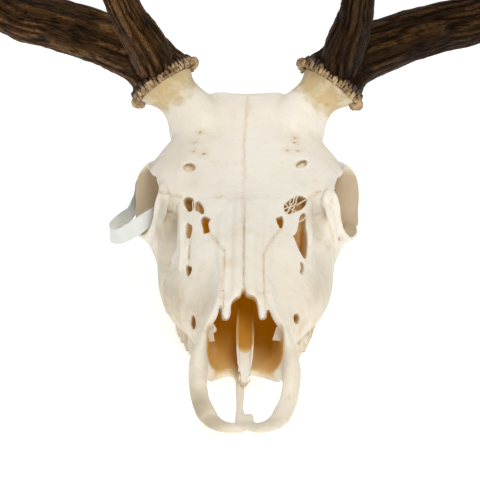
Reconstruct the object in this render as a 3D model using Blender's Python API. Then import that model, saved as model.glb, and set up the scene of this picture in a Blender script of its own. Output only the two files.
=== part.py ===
# Red deer skull with its antlers, life size, without the lower jaw.
# Sizes are in millimetres here and become metres when a mesh is made. x runs to the animal's left,
# y from the front of the premaxillae (0) back to the condyles, z up from the plane of the worn teeth.
import math
import random

import bmesh
import bpy
from mathutils import Matrix, Vector

MM = 0.001
GAP = 0.3                    # air between bones that meet
ORBIT = (76.0, 250.0, 86.0)  # middle of the eye socket's mouth
ORBIT_RADIUS = 23.5
BURR = (66.0, 318.0, 170.0)  # middle of the ring at the foot of an antler
BURR_AXIS = (0.57, 0.31, 0.76)
BURR_RADIUS = 29.0
PEDICLE_SEAT = 5.0           # the stalk ends this far below the ring's middle
ANTLER_SEAT = 4.7            # the antler starts this far below it
BASE_HEIGHT = 14.0           # the beam leaves the burr's node this far above it
RIDGE = 1.3                  # the antlers' ridges stand this far above the drawn radii
NASAL_SHIFT = -1.0           # the pair of nasal bones lies a little off the middle
NASAL_EDGE = 13.6            # half the width of the pair
NASAL_BACK = 205.0
VOXEL = 2.2
CRANIUM_TRIANGLES = 6300
TOOTH_LENGTHS = (13.0, 14.0, 13.0, 18.0, 20.5, 21.5)
TOOTH_WIDTHS = (11.0, 12.5, 13.5, 18.0, 19.5, 18.5)
TOOTH_ROW_START = 121.0
GUM = 24.0                   # the teeth are rooted up to this height
STRAP_WIDTH = 12.5
STRAP_THICKNESS = 1.4
SIDES = (("left", 1), ("right", -1))

BONE = ((0.88, 0.83, 0.74), 0.55)
DARK_ANTLER = ((0.10, 0.055, 0.03), 0.6)
WHITE_PLASTIC = ((0.75, 0.76, 0.75), 0.35)

# Openings beside the nose, which differ from side to side: depth, then x and y of each corner. The cheek
# rises backwards there as CHEEK_SLOPE times y, less CHEEK_DROP.
CHEEK_SLOPE = 0.58
CHEEK_DROP = 19.5
OPENINGS = [
    (9, (-47, 214), (-39, 210.5), (-38.6, 200), (-43, 198.5), (-46, 206)),
    (6, (-37.4, 209), (-31, 199), (-31.5, 191), (-36, 195)),
    (6, (-32.5, 189), (-26, 183.5), (-26.3, 168.8), (-30.8, 168.8), (-32.9, 183.4)),
    (5, (-44.6, 192), (-39.6, 183), (-40, 176), (-44.3, 180)),
    (4, (-41.6, 174), (-38.8, 172), (-39, 160), (-41.6, 160)),
    (6, (-43.5, 158), (-38.6, 148.5), (-40.4, 145), (-43.2, 152)),
    (9, (28, 201), (34, 210.3), (40.4, 214.7), (45.8, 212.5), (40.5, 201), (32, 192.2)),
    (6, (22, 184), (25, 189.4), (27, 181), (25.4, 171.3), (22.8, 178)),
    (5, (40, 196), (44, 205), (44.4, 190), (44.8, 172), (41.9, 160.5), (37, 164), (37.5, 181)),
    (6, (38.8, 153.7), (41.4, 157.5), (42, 152), (38.7, 145.3)),
]

# Half sections of the face from the roof's middle, round the cheek, to the middle of the palate:
# y, then x and z of each point.
FACE_SECTIONS = [
    (58, (0, 42), (9, 42), (20, 42), (30, 34), (29, 22), (15, 17), (0, 18)),
    (74, (0, 52), (9, 52), (21, 50), (29, 36), (27, 21), (14, 17), (0, 19)),
    (95, (0, 67), (12, 66), (20, 58), (27, 42), (26, 21), (17, 16), (0, 19)),
    (120, (0, 78), (15, 76), (27, 65), (36, 42), (32, 18), (21, 15), (0, 21)),
    (148, (0, 87), (17, 86), (34, 76), (50, 44), (40, 17), (27, 15), (0, 23)),
    (178, (0, 97), (20, 95), (42, 85), (62, 43), (50, 16), (32, 15), (0, 24)),
    (205, (0, 106), (28, 104), (51, 93), (66, 57), (55, 17), (36, 16), (0, 25)),
    (228, (0, 114), (38, 113), (62, 103), (68, 66), (54, 26), (34, 20), (0, 30)),
    (250, (0, 125), (44, 123), (69, 110), (60, 86), (36, 58), (20, 40), (0, 42)),
    (275, (0, 139), (46, 133.5), (72, 113.5), (52, 95), (38, 70), (22, 50), (0, 48)),
    (298, (0, 154), (38, 151), (56.5, 124), (46, 102), (40, 70), (22, 52), (0, 50)),
    (316, (0, 160), (32, 159.5), (53, 132), (46, 100), (40, 70), (22, 52), (0, 50)),
]


def catmull(points, per_span):
    # Points of a smooth curve through the given ones, per_span to each stretch.
    vectors = [Vector(p) for p in points]
    padded = [2 * vectors[0] - vectors[1], *vectors, 2 * vectors[-1] - vectors[-2]]
    result = []
    for i in range(len(vectors) - 1):
        a, b, c, d = padded[i:i + 4]
        for k in range(per_span):
            t = k / per_span
            result.append(0.5 * (2 * b + (c - a) * t + (2 * a - 5 * b + 4 * c - d) * t * t
                                 + (3 * b - a - 3 * c + d) * t ** 3))
    result.append(vectors[-1])
    return result


def blend(values, count):
    # The same curve through a row of numbers, read at count even steps.
    curve = [v.x for v in catmull([(v, 0, 0) for v in values], 16)]
    last = len(curve) - 1
    return [curve[round(i * last / (count - 1))] for i in range(count)]


def new_object(name, bm):
    mesh = bpy.data.meshes.new(name)
    bmesh.ops.recalc_face_normals(bm, faces=bm.faces)
    bm.to_mesh(mesh)
    bm.free()
    obj = bpy.data.objects.new(name, mesh)
    bpy.context.scene.collection.objects.link(obj)
    return obj


def loft(name, rings):
    # A closed skin over rings of equally many points, with a flat cap at each end.
    bm = bmesh.new()
    loops = [[bm.verts.new(Vector(p) * MM) for p in ring] for ring in rings]
    for low, high in zip(loops, loops[1:]):
        for i in range(len(low)):
            j = (i + 1) % len(low)
            bm.faces.new((low[i], low[j], high[j], high[i]))
    bm.faces.new(loops[0])
    bm.faces.new(loops[-1])
    return new_object(name, bm)


def path_frames(path, up):
    # Tangent, side and up directions at each point of a path.
    frames = []
    for i, point in enumerate(path):
        ahead = path[min(i + 1, len(path) - 1)]
        behind = path[max(i - 1, 0)]
        tangent = (ahead - behind).normalized()
        side = tangent.cross(up).normalized()
        frames.append((point, tangent, side, side.cross(tangent).normalized()))
    return frames


def tube(name, points, widths, heights, sides=12, per_span=3, up=(0, 0, 1), shape=None, blunt=0.6):
    # A bar along a smooth path: half widths run sideways, half heights along up.
    path = catmull(points, per_span)
    count = len(path)
    frames = path_frames(path, Vector(up))
    rings = []
    for i, (w, h) in enumerate(zip(blend(widths, count), blend(heights, count))):
        point, tangent, side, top = frames[i]
        ring = []
        for k in range(sides):
            angle = 2 * math.pi * k / sides
            swell = shape(i / (count - 1), angle) if shape else 1.0
            ring.append(point + side * (w * swell * math.cos(angle)) + top * (h * swell * math.sin(angle)))
        rings.append(ring)
    if blunt:
        rings.insert(0, nose_ring(rings[0], frames[0][0], -frames[0][1], blunt * min(widths[0], heights[0])))
        rings.append(nose_ring(rings[-1], frames[-1][0], frames[-1][1], blunt * min(widths[-1], heights[-1])))
    return loft(name, rings)


def nose_ring(ring, middle, outward, reach):
    # A smaller ring just past the end of a bar, which rounds the end off.
    return [middle + (p - middle) * 0.55 + outward * reach for p in ring]


def ball(name, middle, radii, tilt=0.0, detail=3):
    bm = bmesh.new()
    bmesh.ops.create_icosphere(bm, subdivisions=detail, radius=1.0)
    turn = Matrix.Rotation(math.radians(tilt), 4, 'X')
    scale = Matrix.Diagonal((*[r * MM for r in radii], 1.0))
    bmesh.ops.transform(bm, matrix=Matrix.Translation(Vector(middle) * MM) @ turn @ scale, verts=bm.verts)
    return new_object(name, bm)


def mirrored(point, sign, shift=0.0):
    return (point[0] * sign + shift, *point[1:])


def mirror_all(points, sign, shift=0.0):
    return [mirrored(p, sign, shift) for p in points]


def prism(name, outline, low, high, slope=0.0):
    # An upright block over a plan outline, between two levels that may rise along y.
    return loft(name, [[Vector((x, y, level + slope * y)) for x, y in outline] for level in (low, high)])


def oval(middle, radii, count=16):
    turns = [2 * math.pi * k / count for k in range(count)]
    return [(middle[0] + radii[0] * math.cos(a), middle[1] + radii[1] * math.sin(a)) for a in turns]


def bake(obj):
    # The object's modifiers become its mesh.
    depsgraph = bpy.context.evaluated_depsgraph_get()
    mesh = bpy.data.meshes.new_from_object(obj.evaluated_get(depsgraph))
    obj.modifiers.clear()
    old = obj.data
    obj.data = mesh
    bpy.data.meshes.remove(old)
    return obj


def remove(objects):
    for obj in objects:
        mesh = obj.data
        bpy.data.objects.remove(obj)
        bpy.data.meshes.remove(mesh)


def join_meshes(name, objects):
    # One object that holds the meshes of several, which may cross.
    bm = bmesh.new()
    for obj in objects:
        bm.from_mesh(obj.data)
    remove(objects)
    mesh = bpy.data.meshes.new(name)
    bm.to_mesh(mesh)
    bm.free()
    obj = bpy.data.objects.new(name, mesh)
    bpy.context.scene.collection.objects.link(obj)
    return obj


def remesh(obj, voxel, rounds):
    grid = obj.modifiers.new("grid", 'REMESH')
    grid.mode = 'VOXEL'
    grid.voxel_size = voxel * MM
    relax = obj.modifiers.new("relax", 'SMOOTH')
    relax.factor = 0.5
    relax.iterations = rounds
    return bake(obj)


def boolean(obj, others, operation, solver='MANIFOLD'):
    # One Boolean with a collection of closed meshes, which are used up.
    group = bpy.data.collections.new("operands")
    for other in others:
        group.objects.link(other)
    change = obj.modifiers.new("boolean", 'BOOLEAN')
    change.operation = operation
    change.solver = solver
    change.operand_type = 'COLLECTION'
    change.collection = group
    bake(obj)
    remove(others)
    bpy.data.collections.remove(group)
    return obj


def keep_largest(obj):
    # Only the closed surface with the most faces stays.
    bm = bmesh.new()
    bm.from_mesh(obj.data)
    bm.faces.ensure_lookup_table()
    seen = set()
    shells = []
    for face in bm.faces:
        if face.index in seen:
            continue
        shell = []
        todo = [face]
        seen.add(face.index)
        while todo:
            here = todo.pop()
            shell.append(here)
            for edge in here.edges:
                for near in edge.link_faces:
                    if near.index not in seen:
                        seen.add(near.index)
                        todo.append(near)
        shells.append(shell)
    shells.sort(key=len)
    spare = [face for shell in shells[:-1] for face in shell]
    bmesh.ops.delete(bm, geom=spare, context='FACES')
    bm.to_mesh(obj.data)
    bm.free()
    return obj


def copy_of(obj, name):
    twin = bpy.data.objects.new(name, obj.data.copy())
    bpy.context.scene.collection.objects.link(twin)
    return twin


def room(name, planes, inset):
    # A closed block bounded by planes, each a point and an outward normal, all moved in by inset.
    bm = bmesh.new()
    bmesh.ops.create_cube(bm, size=3.0)
    for point, normal in planes:
        out = Vector(normal).normalized()
        at = (Vector(point) - out * inset) * MM
        geometry = bm.verts[:] + bm.edges[:] + bm.faces[:]
        cut = bmesh.ops.bisect_plane(bm, geom=geometry, plane_co=at, plane_no=out, clear_outer=True)
        rim = [e for e in cut["geom_cut"] if isinstance(e, bmesh.types.BMEdge)]
        bmesh.ops.edgeloop_fill(bm, edges=rim)
    return new_object(name, bm)


def face_loft():
    # The face and forehead, smooth along its length and round each section.
    rows = [[(x, y, z) for x, z in points] for y, *points in FACE_SECTIONS]
    columns = [catmull(column, 3) for column in zip(*rows)]
    rings = []
    for half in zip(*columns):
        right = catmull(half, 3)
        left = [Vector((-p.x, p.y, p.z)) for p in right[-2:0:-1]]
        rings.append(right + left)
    return loft("face", rings)


def premaxilla_forms(sign):
    ramus = [(6, 4.0, 8.5), (15, 7, 9), (22.5, 15, 11), (27.5, 28, 17), (30, 40, 25), (30.8, 52, 31),
             (29, 66, 35), (26, 82, 38)]
    process = [(28.8, 54, 36), (28.2, 62, 44), (25.6, 70, 50.5), (21.6, 78, 56), (18.8, 88, 60), (17, 100, 65),
               (17, 112, 69)]
    return [
        tube("ramus", mirror_all(ramus, sign), [5, 6, 6.8, 6.8, 6.4, 6.2, 5.6, 5],
             [3.2, 3.6, 4, 5, 8, 11, 14, 16]),
        tube("process", mirror_all(process, sign), [3.6, 3.3, 3.2, 3.2, 3, 3, 3], [6, 5.5, 5, 5, 5, 5, 5]),
    ]


def palate_rods():
    # The palatine processes: a whole one on the animal's right, a broken stub on the other side.
    whole = tube("rod", [(-3, 3, 8), (-3, 28, 12.5), (-3, 52, 18.5), (-3, 70, 22)], [3.9, 3.9, 3.9, 3.6],
                 [3.1, 3, 2.9, 3.1])
    stub = tube("stub", [(3.6, 5, 8.5), (3.5, 11, 10), (3.3, 19, 12)], [3.8, 3.4, 3.0], [2.8, 2.4, 2])
    return [whole, stub]


def nasal_forms(sign):
    # One nasal bone: a long plate that ends in a rounded point at its outer side.
    outer = [(12, 76.5, 56.2), (12.3, 81, 58.4), (12.6, 90, 62.5), (13.4, 110, 71.5), (15, 140, 82.5),
             (16, 175, 93), (15, 205, 101), (13, 226, 107)]
    inner = [(8.6, 88, 64), (5, 97, 69.5), (4, 110, 74), (4, 140, 84), (4, 175, 95), (4, 205, 103.5),
             (4, 228, 109)]
    return [
        tube("nasal_side", mirror_all(outer, sign, NASAL_SHIFT), [2.4, 3, 3.4, 3.6, 4, 4, 4, 4],
             [2, 2.3, 2.5, 3, 3, 3, 3, 3]),
        tube("nasal_ridge", mirror_all(inner, sign, NASAL_SHIFT), [2, 3.5, 4.4, 4.6, 4.6, 4.6, 4.6],
             [1.4, 1.8, 2.4, 3, 3, 3, 3]),
    ]


def orbit_forms(sign):
    # The rim of the eye socket, the bar behind it and the arch below.
    brow = [(58, 214, 101), (61.5, 222, 105.5), (63, 236, 107.5), (67.5, 257, 108.5), (71, 268, 109.8),
            (73.2, 276, 111.2)]
    bar = [(67, 281, 111.5), (72, 282, 106), (75.6, 282, 98), (77, 280, 86), (77.4, 277, 76), (79, 270, 66)]
    rim = [(80, 270, 65), (80.5, 260, 62.5), (76, 246, 65), (72, 236, 69), (68.6, 230, 76), (66.6, 227.5, 85),
           (65.4, 226, 94), (62.6, 224, 103)]
    front = [(58, 211, 98), (61, 216, 84), (63, 218, 71), (66, 224, 60)]
    arch = [(55, 190, 44), (59.5, 205, 48), (62.6, 220, 52), (67, 234, 57.5), (72.5, 248, 61.5), (78.5, 264, 63),
            (80, 280, 68), (79.5, 293, 72), (75, 315, 75), (62, 336, 72), (46, 348, 70)]
    return [
        tube("brow", mirror_all(brow, sign), [4, 3.8, 3.6, 3.6, 3.6, 3.6], [4, 3.4, 3.4, 3.4, 3.4, 3.4]),
        tube("bar", mirror_all(bar, sign), [3.6, 3.4, 3.4, 3.4, 3.6, 4.2], [5, 8, 9.8, 10.2, 9.4, 7.5],
             up=(1, 0, 0)),
        tube("rim", mirror_all(rim, sign), [4.4, 4.2, 4.2, 3.9, 3.7, 3.5, 3.4, 3.4],
             [5, 5, 5.4, 5, 4.2, 3.8, 3.6, 3.6]),
        tube("front", mirror_all(front, sign), [9, 10, 9, 7], [5, 6, 6, 5], up=(1, 0, 0)),
        tube("arch", mirror_all(arch, sign), [5, 5, 4.5, 4.4, 4.2, 4.5, 4.2, 4, 3.6, 5, 6],
             [8, 9, 8.5, 7, 6, 6, 6.4, 6.6, 6, 7, 8]),
    ]


def burr_axis(sign):
    return Vector(mirrored(BURR_AXIS, sign)).normalized()


def pedicle_form(sign):
    # The bony stalk narrows under the burr and spreads into the forehead.
    line = [(29, 298, 118), (35, 303, 131), (40.5, 306.5, 140.5), (45.4, 309, 147.4), (51, 312, 154),
            (56, 314, 159.4), (60.4, 316, 164), BURR]
    radii = [25, 26, 24, 20.6, 17.9, 18, 20.4, 22.5]
    return tube("pedicle", mirror_all(line, sign), radii, radii, sides=24, up=(0, 1, 0), blunt=0)


def braincase_forms():
    nuchal = [(-50, 366, 78), (-44, 376, 96), (-26, 385, 110), (0, 389, 116), (26, 385, 110), (44, 376, 96),
              (50, 366, 78)]
    crest = [(-36, 308, 155.5), (-18, 313, 156.6), (0, 313, 156.6), (18, 313, 156.6), (36, 308, 155.5)]
    forms = [
        ball("brain", (0, 326, 102), (46, 62, 50), tilt=-8),
        ball("occiput", (0, 376, 84), (50, 13, 36), tilt=12),
        tube("nuchal", nuchal, [5, 4, 4, 5, 4, 4, 5], [4, 3.4, 3.4, 4, 3.4, 3.4, 4]),
        tube("base", [(0, 262, 50), (0, 300, 49), (0, 340, 50), (0, 384, 50)], [9, 10, 15, 17], [8, 8, 8, 9]),
        tube("crest", crest, [6, 6, 6, 6, 6], [3.2, 3.2, 3.2, 3.2, 3.2]),
    ]
    jugular = [(44, 362, 62), (41, 364, 38), (37, 360, 16), (35, 357, -2)]
    wing = [(18, 216, 26), (15, 240, 30), (14, 262, 40), (14, 276, 50)]
    meatus = [(34, 346, 66), (46, 346, 70), (56, 344, 74)]
    for sign in (-1, 1):
        forms += [
            ball("condyle", (17 * sign, 386, 58), (11, 12, 17), tilt=-20),
            ball("mastoid", (50 * sign, 360, 74), (11, 15, 21)),
            ball("bulla", (23 * sign, 336, 46), (9.5, 15, 12)),
            ball("temple", (52 * sign, 334, 70), (17, 11, 8)),
            tube("meatus", mirror_all(meatus, sign), [7, 6.5, 6], [7, 6.5, 6]),
            tube("jugular", mirror_all(jugular, sign), [9, 6, 4.5, 3.6], [7, 6.5, 6, 5], up=(0, 1, 0)),
            tube("wing", mirror_all(wing, sign), [3.4, 2.6, 2.6, 4], [8, 14, 13, 6]),
        ]
    return forms


def hollow_section(y, half_width, low, high):
    # An upright rounded section of a hollow.
    middle = (low + high) / 2
    half = (high - low) / 2
    ring = []
    for k in range(20):
        angle = 2 * math.pi * k / 20
        c, s = math.cos(angle), math.sin(angle)
        ring.append(Vector((half_width * math.copysign(abs(c) ** 0.75, c), y,
                            middle + half * math.copysign(abs(s) ** 0.75, s))))
    return ring


def nasal_hollow():
    stations = [(40, 24.6, 22, 92), (58, 25.4, 22, 84), (68, 24.8, 22.3, 74), (76, 23.4, 22.8, 53),
                (88, 22.4, 23.4, 57), (98, 22.4, 24, 62), (120, 26, 26, 70), (150, 30, 28, 77), (178, 22, 32, 82),
                (198, 8, 45, 78)]
    return loft("airway", [hollow_section(*s) for s in stations])


def socket_hollow(sign):
    # The funnel of an eye socket, wide at its mouth.
    points = [(104, 246, 84), ORBIT, (62, 252, 88), (44, 257, 91), (34, 262, 92)]
    r = ORBIT_RADIUS
    return tube("socket", mirror_all(points, sign), [r + 2, r, r - 1, 15, 6], [r, r - 3, r - 2, 15, 6], sides=20)


def temple_hollow(sign):
    # The gap behind the eye socket, inside the arch.
    points = [(66, 306, 122), (64, 308, 96), (63, 306, 70), (62, 300, 44)]
    return tube("temple", mirror_all(points, sign), [11, 11, 11, 12], [17, 20, 20, 18], up=(0, 1, 0))


def ear_hollow(sign):
    points = [(64, 343, 75), (52, 345, 72), (42, 346, 69)]
    return tube("ear", mirror_all(points, sign), [4.2, 3.4, 2.6], [4.2, 3.4, 2.6])


def middle_hollows():
    # The throat's opening, and the hole in the back of the head for the spinal cord.
    return [
        tube("throat", [(0, 222, 26), (0, 250, 30), (0, 292, 33)], [11, 11, 8], [7, 12, 10]),
        tube("spine", [(0, 350, 76), (0, 374, 70), (0, 404, 66)], [8, 11.5, 14], [8, 11, 13]),
    ]


def palate_gap(sign):
    # The long opening in the front of the palate, wider on the side of the broken rod.
    middle, half_width = (12.6, 12.6) if sign > 0 else (15.4, 9.6)
    return prism("palate_gap", oval((middle * sign, 48), (half_width, 26)), 8, 30)


def tear_pit(sign):
    # The shallow pit in front of the eye socket, drawn as a ball that dips into the cheek.
    return ball("tear_pit", (67 * sign, 199, 86), (12, 17, 15), detail=2)


def small_openings():
    # The openings beside the nose, and the holes for nerves and vessels, with crisp edges.
    cutters = []
    for depth, *outline in OPENINGS:
        cutters.append(prism("gap", outline, -CHEEK_DROP - depth, 10 - CHEEK_DROP, CHEEK_SLOPE))
    for x, y in ((-43.3, 243), (41.6, 247.5)):
        cutters.append(prism("brow_hole", oval((x, y), (4.9, 4.2), 10), 114, 132))
    for sign in (-1, 1):
        cheek_hole = [(43, 111, 40), (32, 127, 39)]
        cutters.append(tube("cheek_hole", mirror_all(cheek_hole, sign), [2.4, 2.2], [6.4, 5], sides=10))
    return cutters


def nasal_gaps():
    # The notch between the nasal bones' points, and the narrow gap outside each point.
    notch = [(9.4, 60), (10, 74), (9.6, 80), (8.6, 87), (7.6, 91), (4.6, 93), (2.2, 96), (0.5, 100)]
    outline = mirror_all(notch, 1, NASAL_SHIFT) + mirror_all(reversed(notch), -1, NASAL_SHIFT)
    gaps = [prism("notch", outline, 44, 92)]
    beside = [(15.6, 84.6), (14.5, 80.4), (13, 77.4), (11.6, 74), (20.5, 71), (18.6, 77.4), (16.8, 81.4)]
    for sign in (-1, 1):
        gaps.append(prism("beside", mirror_all(beside, sign, NASAL_SHIFT * 0.8), 44, 68))
    return gaps


def thin(obj, triangles):
    change = obj.modifiers.new("thin", 'DECIMATE')
    change.ratio = triangles / sum(len(p.vertices) - 2 for p in obj.data.polygons)
    return bake(obj)


def make_cranium():
    forms = [face_loft(), *palate_rods(), *braincase_forms()]
    for sign in (-1, 1):
        forms += premaxilla_forms(sign) + nasal_forms(sign) + orbit_forms(sign)
        forms.append(pedicle_form(sign))
    whole = remesh(join_meshes("cranium", forms), VOXEL, 2)
    hollows = [nasal_hollow(), *middle_hollows()]
    for sign in (-1, 1):
        hollows += [socket_hollow(sign), temple_hollow(sign), ear_hollow(sign), palate_gap(sign), tear_pit(sign)]
    for hollow in hollows:
        boolean(whole, [hollow], 'DIFFERENCE')
    remesh(whole, VOXEL, 2)
    thin(whole, CRANIUM_TRIANGLES)
    for cutter in nasal_gaps() + small_openings():
        boolean(whole, [cutter], 'DIFFERENCE')
    for sign in (-1, 1):
        out = burr_axis(sign)
        seat = Vector(mirrored(BURR, sign)) - out * PEDICLE_SEAT
        cap = room("cap", [(seat, -out), (seat + out * 40, out)], 0)
        boolean(whole, [cap], 'DIFFERENCE')
    floor = room("floor", [((0, 0, 0), (0, 0, 1))], 0)
    boolean(whole, [floor], 'DIFFERENCE')
    return keep_largest(whole)


def bone_rooms():
    # The planes that bound each bone, in the order in which the bones are taken off the cranium.
    rooms = []
    for side, sign in SIDES:
        rooms.append(("nasal_" + side, [
            ((NASAL_SHIFT, 0, 0), (-sign, 0, 0)),
            ((NASAL_EDGE * sign + NASAL_SHIFT, 80, 0), (sign, 0, 0)),
            ((0, NASAL_BACK, 105), (0, 1, 0)),
            ((0, 77, 46), (0, 0.406, -1)),
        ]))
    for side, sign in SIDES:
        rooms.append(("premaxilla_" + side, [
            ((0, 0, 0), (-sign, 0, 0)),
            ((0, 66, 12), (0, 52, -30)),
        ]))
    for side, sign in SIDES:
        rooms.append(("zygomatic_" + side, [
            ((62 * sign, 0, 0), (-sign, 0, 0)),
            ((0, 203, 0), (0, -1, 0)),
            ((0, 0, 105), (0, 0, 1)),
        ]))
    rooms.append(("frontal", [
        ((0, 207, 0), (0, -1, 0)),
        ((0, 207, 92), (0, 0.29, -1)),
        ((0, 333, 128), (0, 0.94, -0.34)),
    ]))
    for side, sign in SIDES:
        rooms.append(("maxilla_" + side, [
            ((0, 0, 0), (-sign, 0, 0)),
            ((0, 236, 0), (0, 1, 0)),
        ]))
    return rooms


def part_bones(cranium):
    bones = {}
    for name, planes in bone_rooms():
        bone = copy_of(cranium, name)
        boolean(bone, [room("inner", planes, GAP / 2)], 'INTERSECT')
        bones[name] = keep_largest(bone)
        boolean(cranium, [room("outer", planes, -GAP / 2)], 'DIFFERENCE')
    cranium.name = "braincase"
    bones["braincase"] = keep_largest(cranium)
    return bones


def tooth_lobe(name, middle, length, width, low, high, sign):
    # One rounded column of a cheek tooth, a little wider at the gum, flat where it is worn.
    rings = []
    for z, swell in ((low, 0.86), (low + 3, 1.0), (high - 6, 1.02), (high, 0.8)):
        ring = []
        for k in range(8):
            angle = 2 * math.pi * (k + 0.5) / 8
            x = math.cos(angle) * width / 2
            if x * sign > 0:
                x *= 0.92
            ring.append(Vector((middle[0] + x * swell, middle[1] + math.sin(angle) * length / 2 * swell, z)))
        rings.append(ring)
    return loft(name, rings)


def row_middle(y, width):
    # Distance of a tooth's middle from the midline: the outer line of the row is a shallow arc.
    t = (y - TOOTH_ROW_START) / sum(TOOTH_LENGTHS)
    outer = 31.5 + 34.0 * t - 11.5 * t * t
    return outer - width / 2


def add_teeth(maxilla, sign):
    rng = random.Random(11 if sign > 0 else 23)
    lobes = []
    y = TOOTH_ROW_START
    for i, (length, width) in enumerate(zip(TOOTH_LENGTHS, TOOTH_WIDTHS)):
        wear = 0.0 if i in (3, 4, 5) else rng.uniform(0.6, 1.8)
        parts = 1 if i < 3 else 2
        for k in range(parts):
            share = length / parts
            at = y + share * (k + 0.5)
            middle = (sign * (row_middle(at, width) + rng.uniform(-0.4, 0.4)), at)
            lobe_length = share + (1.2 if parts == 2 else -0.4)
            lobes.append(tooth_lobe("lobe", middle, lobe_length, width, wear, GUM, sign))
        y += length
    boolean(maxilla, lobes, 'UNION')
    return keep_largest(maxilla)


def make_vomer():
    # The thin trough that stands on the floor of the nose.
    rings = []
    stations = ((46, 3.8, 20.2, 23.4), (60, 4.8, 24.6, 29), (70, 5.5, 24.6, 34), (84, 6.2, 25, 40),
                (100, 6.2, 26, 45), (125, 5.4, 27.6, 50), (150, 4.4, 29.6, 52))
    for y, half, low, high in stations:
        dip = min(3.6, (high - low) * 0.4)
        rings.append([Vector((x, y, z)) for x, z in (
            (-half, high), (-half * 0.92, (low + high) / 2), (-half * 0.5, low + 1.2), (-1.6, low), (1.6, low),
            (half * 0.5, low + 1.2), (half * 0.92, (low + high) / 2), (half, high), (half - 1.3, high),
            (0, high - dip), (1.3 - half, high))])
    return loft("vomer", rings)


def ridged(waves, depth, turns):
    # Long grooves round an antler, which wind slowly.
    def swell(t, angle):
        return 1.0 + depth * math.cos(waves * angle + turns * t)
    return swell


BEAM_PATH = [(66, 318, 168), (82, 322, 187), (120, 337, 200), (153, 352, 207), (190, 373, 213), (240, 400, 236),
             (285, 414, 280), (318, 412, 335), (335, 398, 395), (334, 382, 452), (322, 370, 500)]
BEAM_RADII = [23, 22, 20.5, 20, 19.5, 19, 18.5, 18, 17.5, 17, 16.5]
BROW_PATHS = {
    1: [(72, 312, 178), (74.5, 294, 201), (80.5, 276, 226), (82, 259, 247), (86, 238, 282), (92, 222, 324),
        (94, 216, 366), (92, 220, 404)],
    -1: [(-71, 312, 178), (-76.5, 294, 199), (-89, 276, 225), (-97, 259, 247), (-106, 238, 280), (-113, 222, 322),
         (-115, 216, 364), (-113, 220, 402)],
}
BROW_RADII = [15, 15.6, 13, 11.6, 10.6, 9.2, 7.2, 2.6]
TREZ_PATH = [(318, 412, 330), (322, 386, 338), (325, 352, 356), (324, 322, 388), (320, 304, 428), (316, 300, 462)]
TREZ_RADII = [12, 13, 11.5, 10, 7.5, 2.4]
CROWN_FRONT = [(326, 374, 488), (325, 352, 512), (320, 326, 546), (312, 308, 588), (306, 302, 624)]
CROWN_BACK = [(324, 372, 486), (338, 384, 516), (352, 394, 552), (358, 398, 592), (356, 398, 628)]
CROWN_TOP = [(322, 370, 500), (312, 364, 530), (294, 358, 570), (272, 352, 616), (258, 350, 660)]
CROWN_RADII = [12, 12.5, 11, 8.5, 2.4]
CROWN_TOP_RADII = [15, 14, 11.5, 8.5, 2.4]
UPPER_FORK = ((331, 404, 362), (0.25, -0.25, 1))  # point and direction of the beam's upper split
CLEARANCE = 2 * GAP         # a tine stands off the beam it grows from by this much


def antler_tube(name, points, radii, sides, grow=0.0):
    swell = ridged(5, 0.03, 1.6)
    widths = [r + RIDGE + grow for r in radii]
    return tube(name, points, widths, widths, sides=sides, per_span=2, up=(0, 1, 0.2), shape=swell, blunt=0.5)


def burr_ring(sign):
    # The ring of pearls at the foot of the antler, with a larger knob at its outer and inner end.
    axis = burr_axis(sign)
    side = axis.cross(Vector((0, 1, 0))).normalized()
    front = axis.cross(side).normalized()
    outward = (Vector((sign, 0, 0)) - axis * axis.x * sign).normalized()
    middle = Vector(mirrored(BURR, sign))
    rng = random.Random(5 if sign > 0 else 6)
    sides = 36
    turns = [2 * math.pi * k / sides for k in range(sides)]
    ways = [side * math.cos(a) + front * math.sin(a) for a in turns]
    knobs = [max(abs(way.dot(outward)) - 0.94, 0) / 0.06 for way in ways]
    pearls = [1 + (0.03 if k % 2 else -0.02) + rng.uniform(-0.01, 0.01) + 0.07 * knobs[k] for k in range(sides)]
    rings = []
    for lift, radius in ((-6.2, 20.0), (-5.4, BURR_RADIUS - 3.0), (-1.5, BURR_RADIUS),
                         (2.5, BURR_RADIUS - 0.5), (5.5, BURR_RADIUS - 3.0), (7.0, 20.0)):
        reaches = [radius * pearl if radius > 20 else radius for pearl in pearls]
        rings.append([middle + axis * lift + way * reach for way, reach in zip(ways, reaches)])
    return loft("burr", rings)


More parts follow.
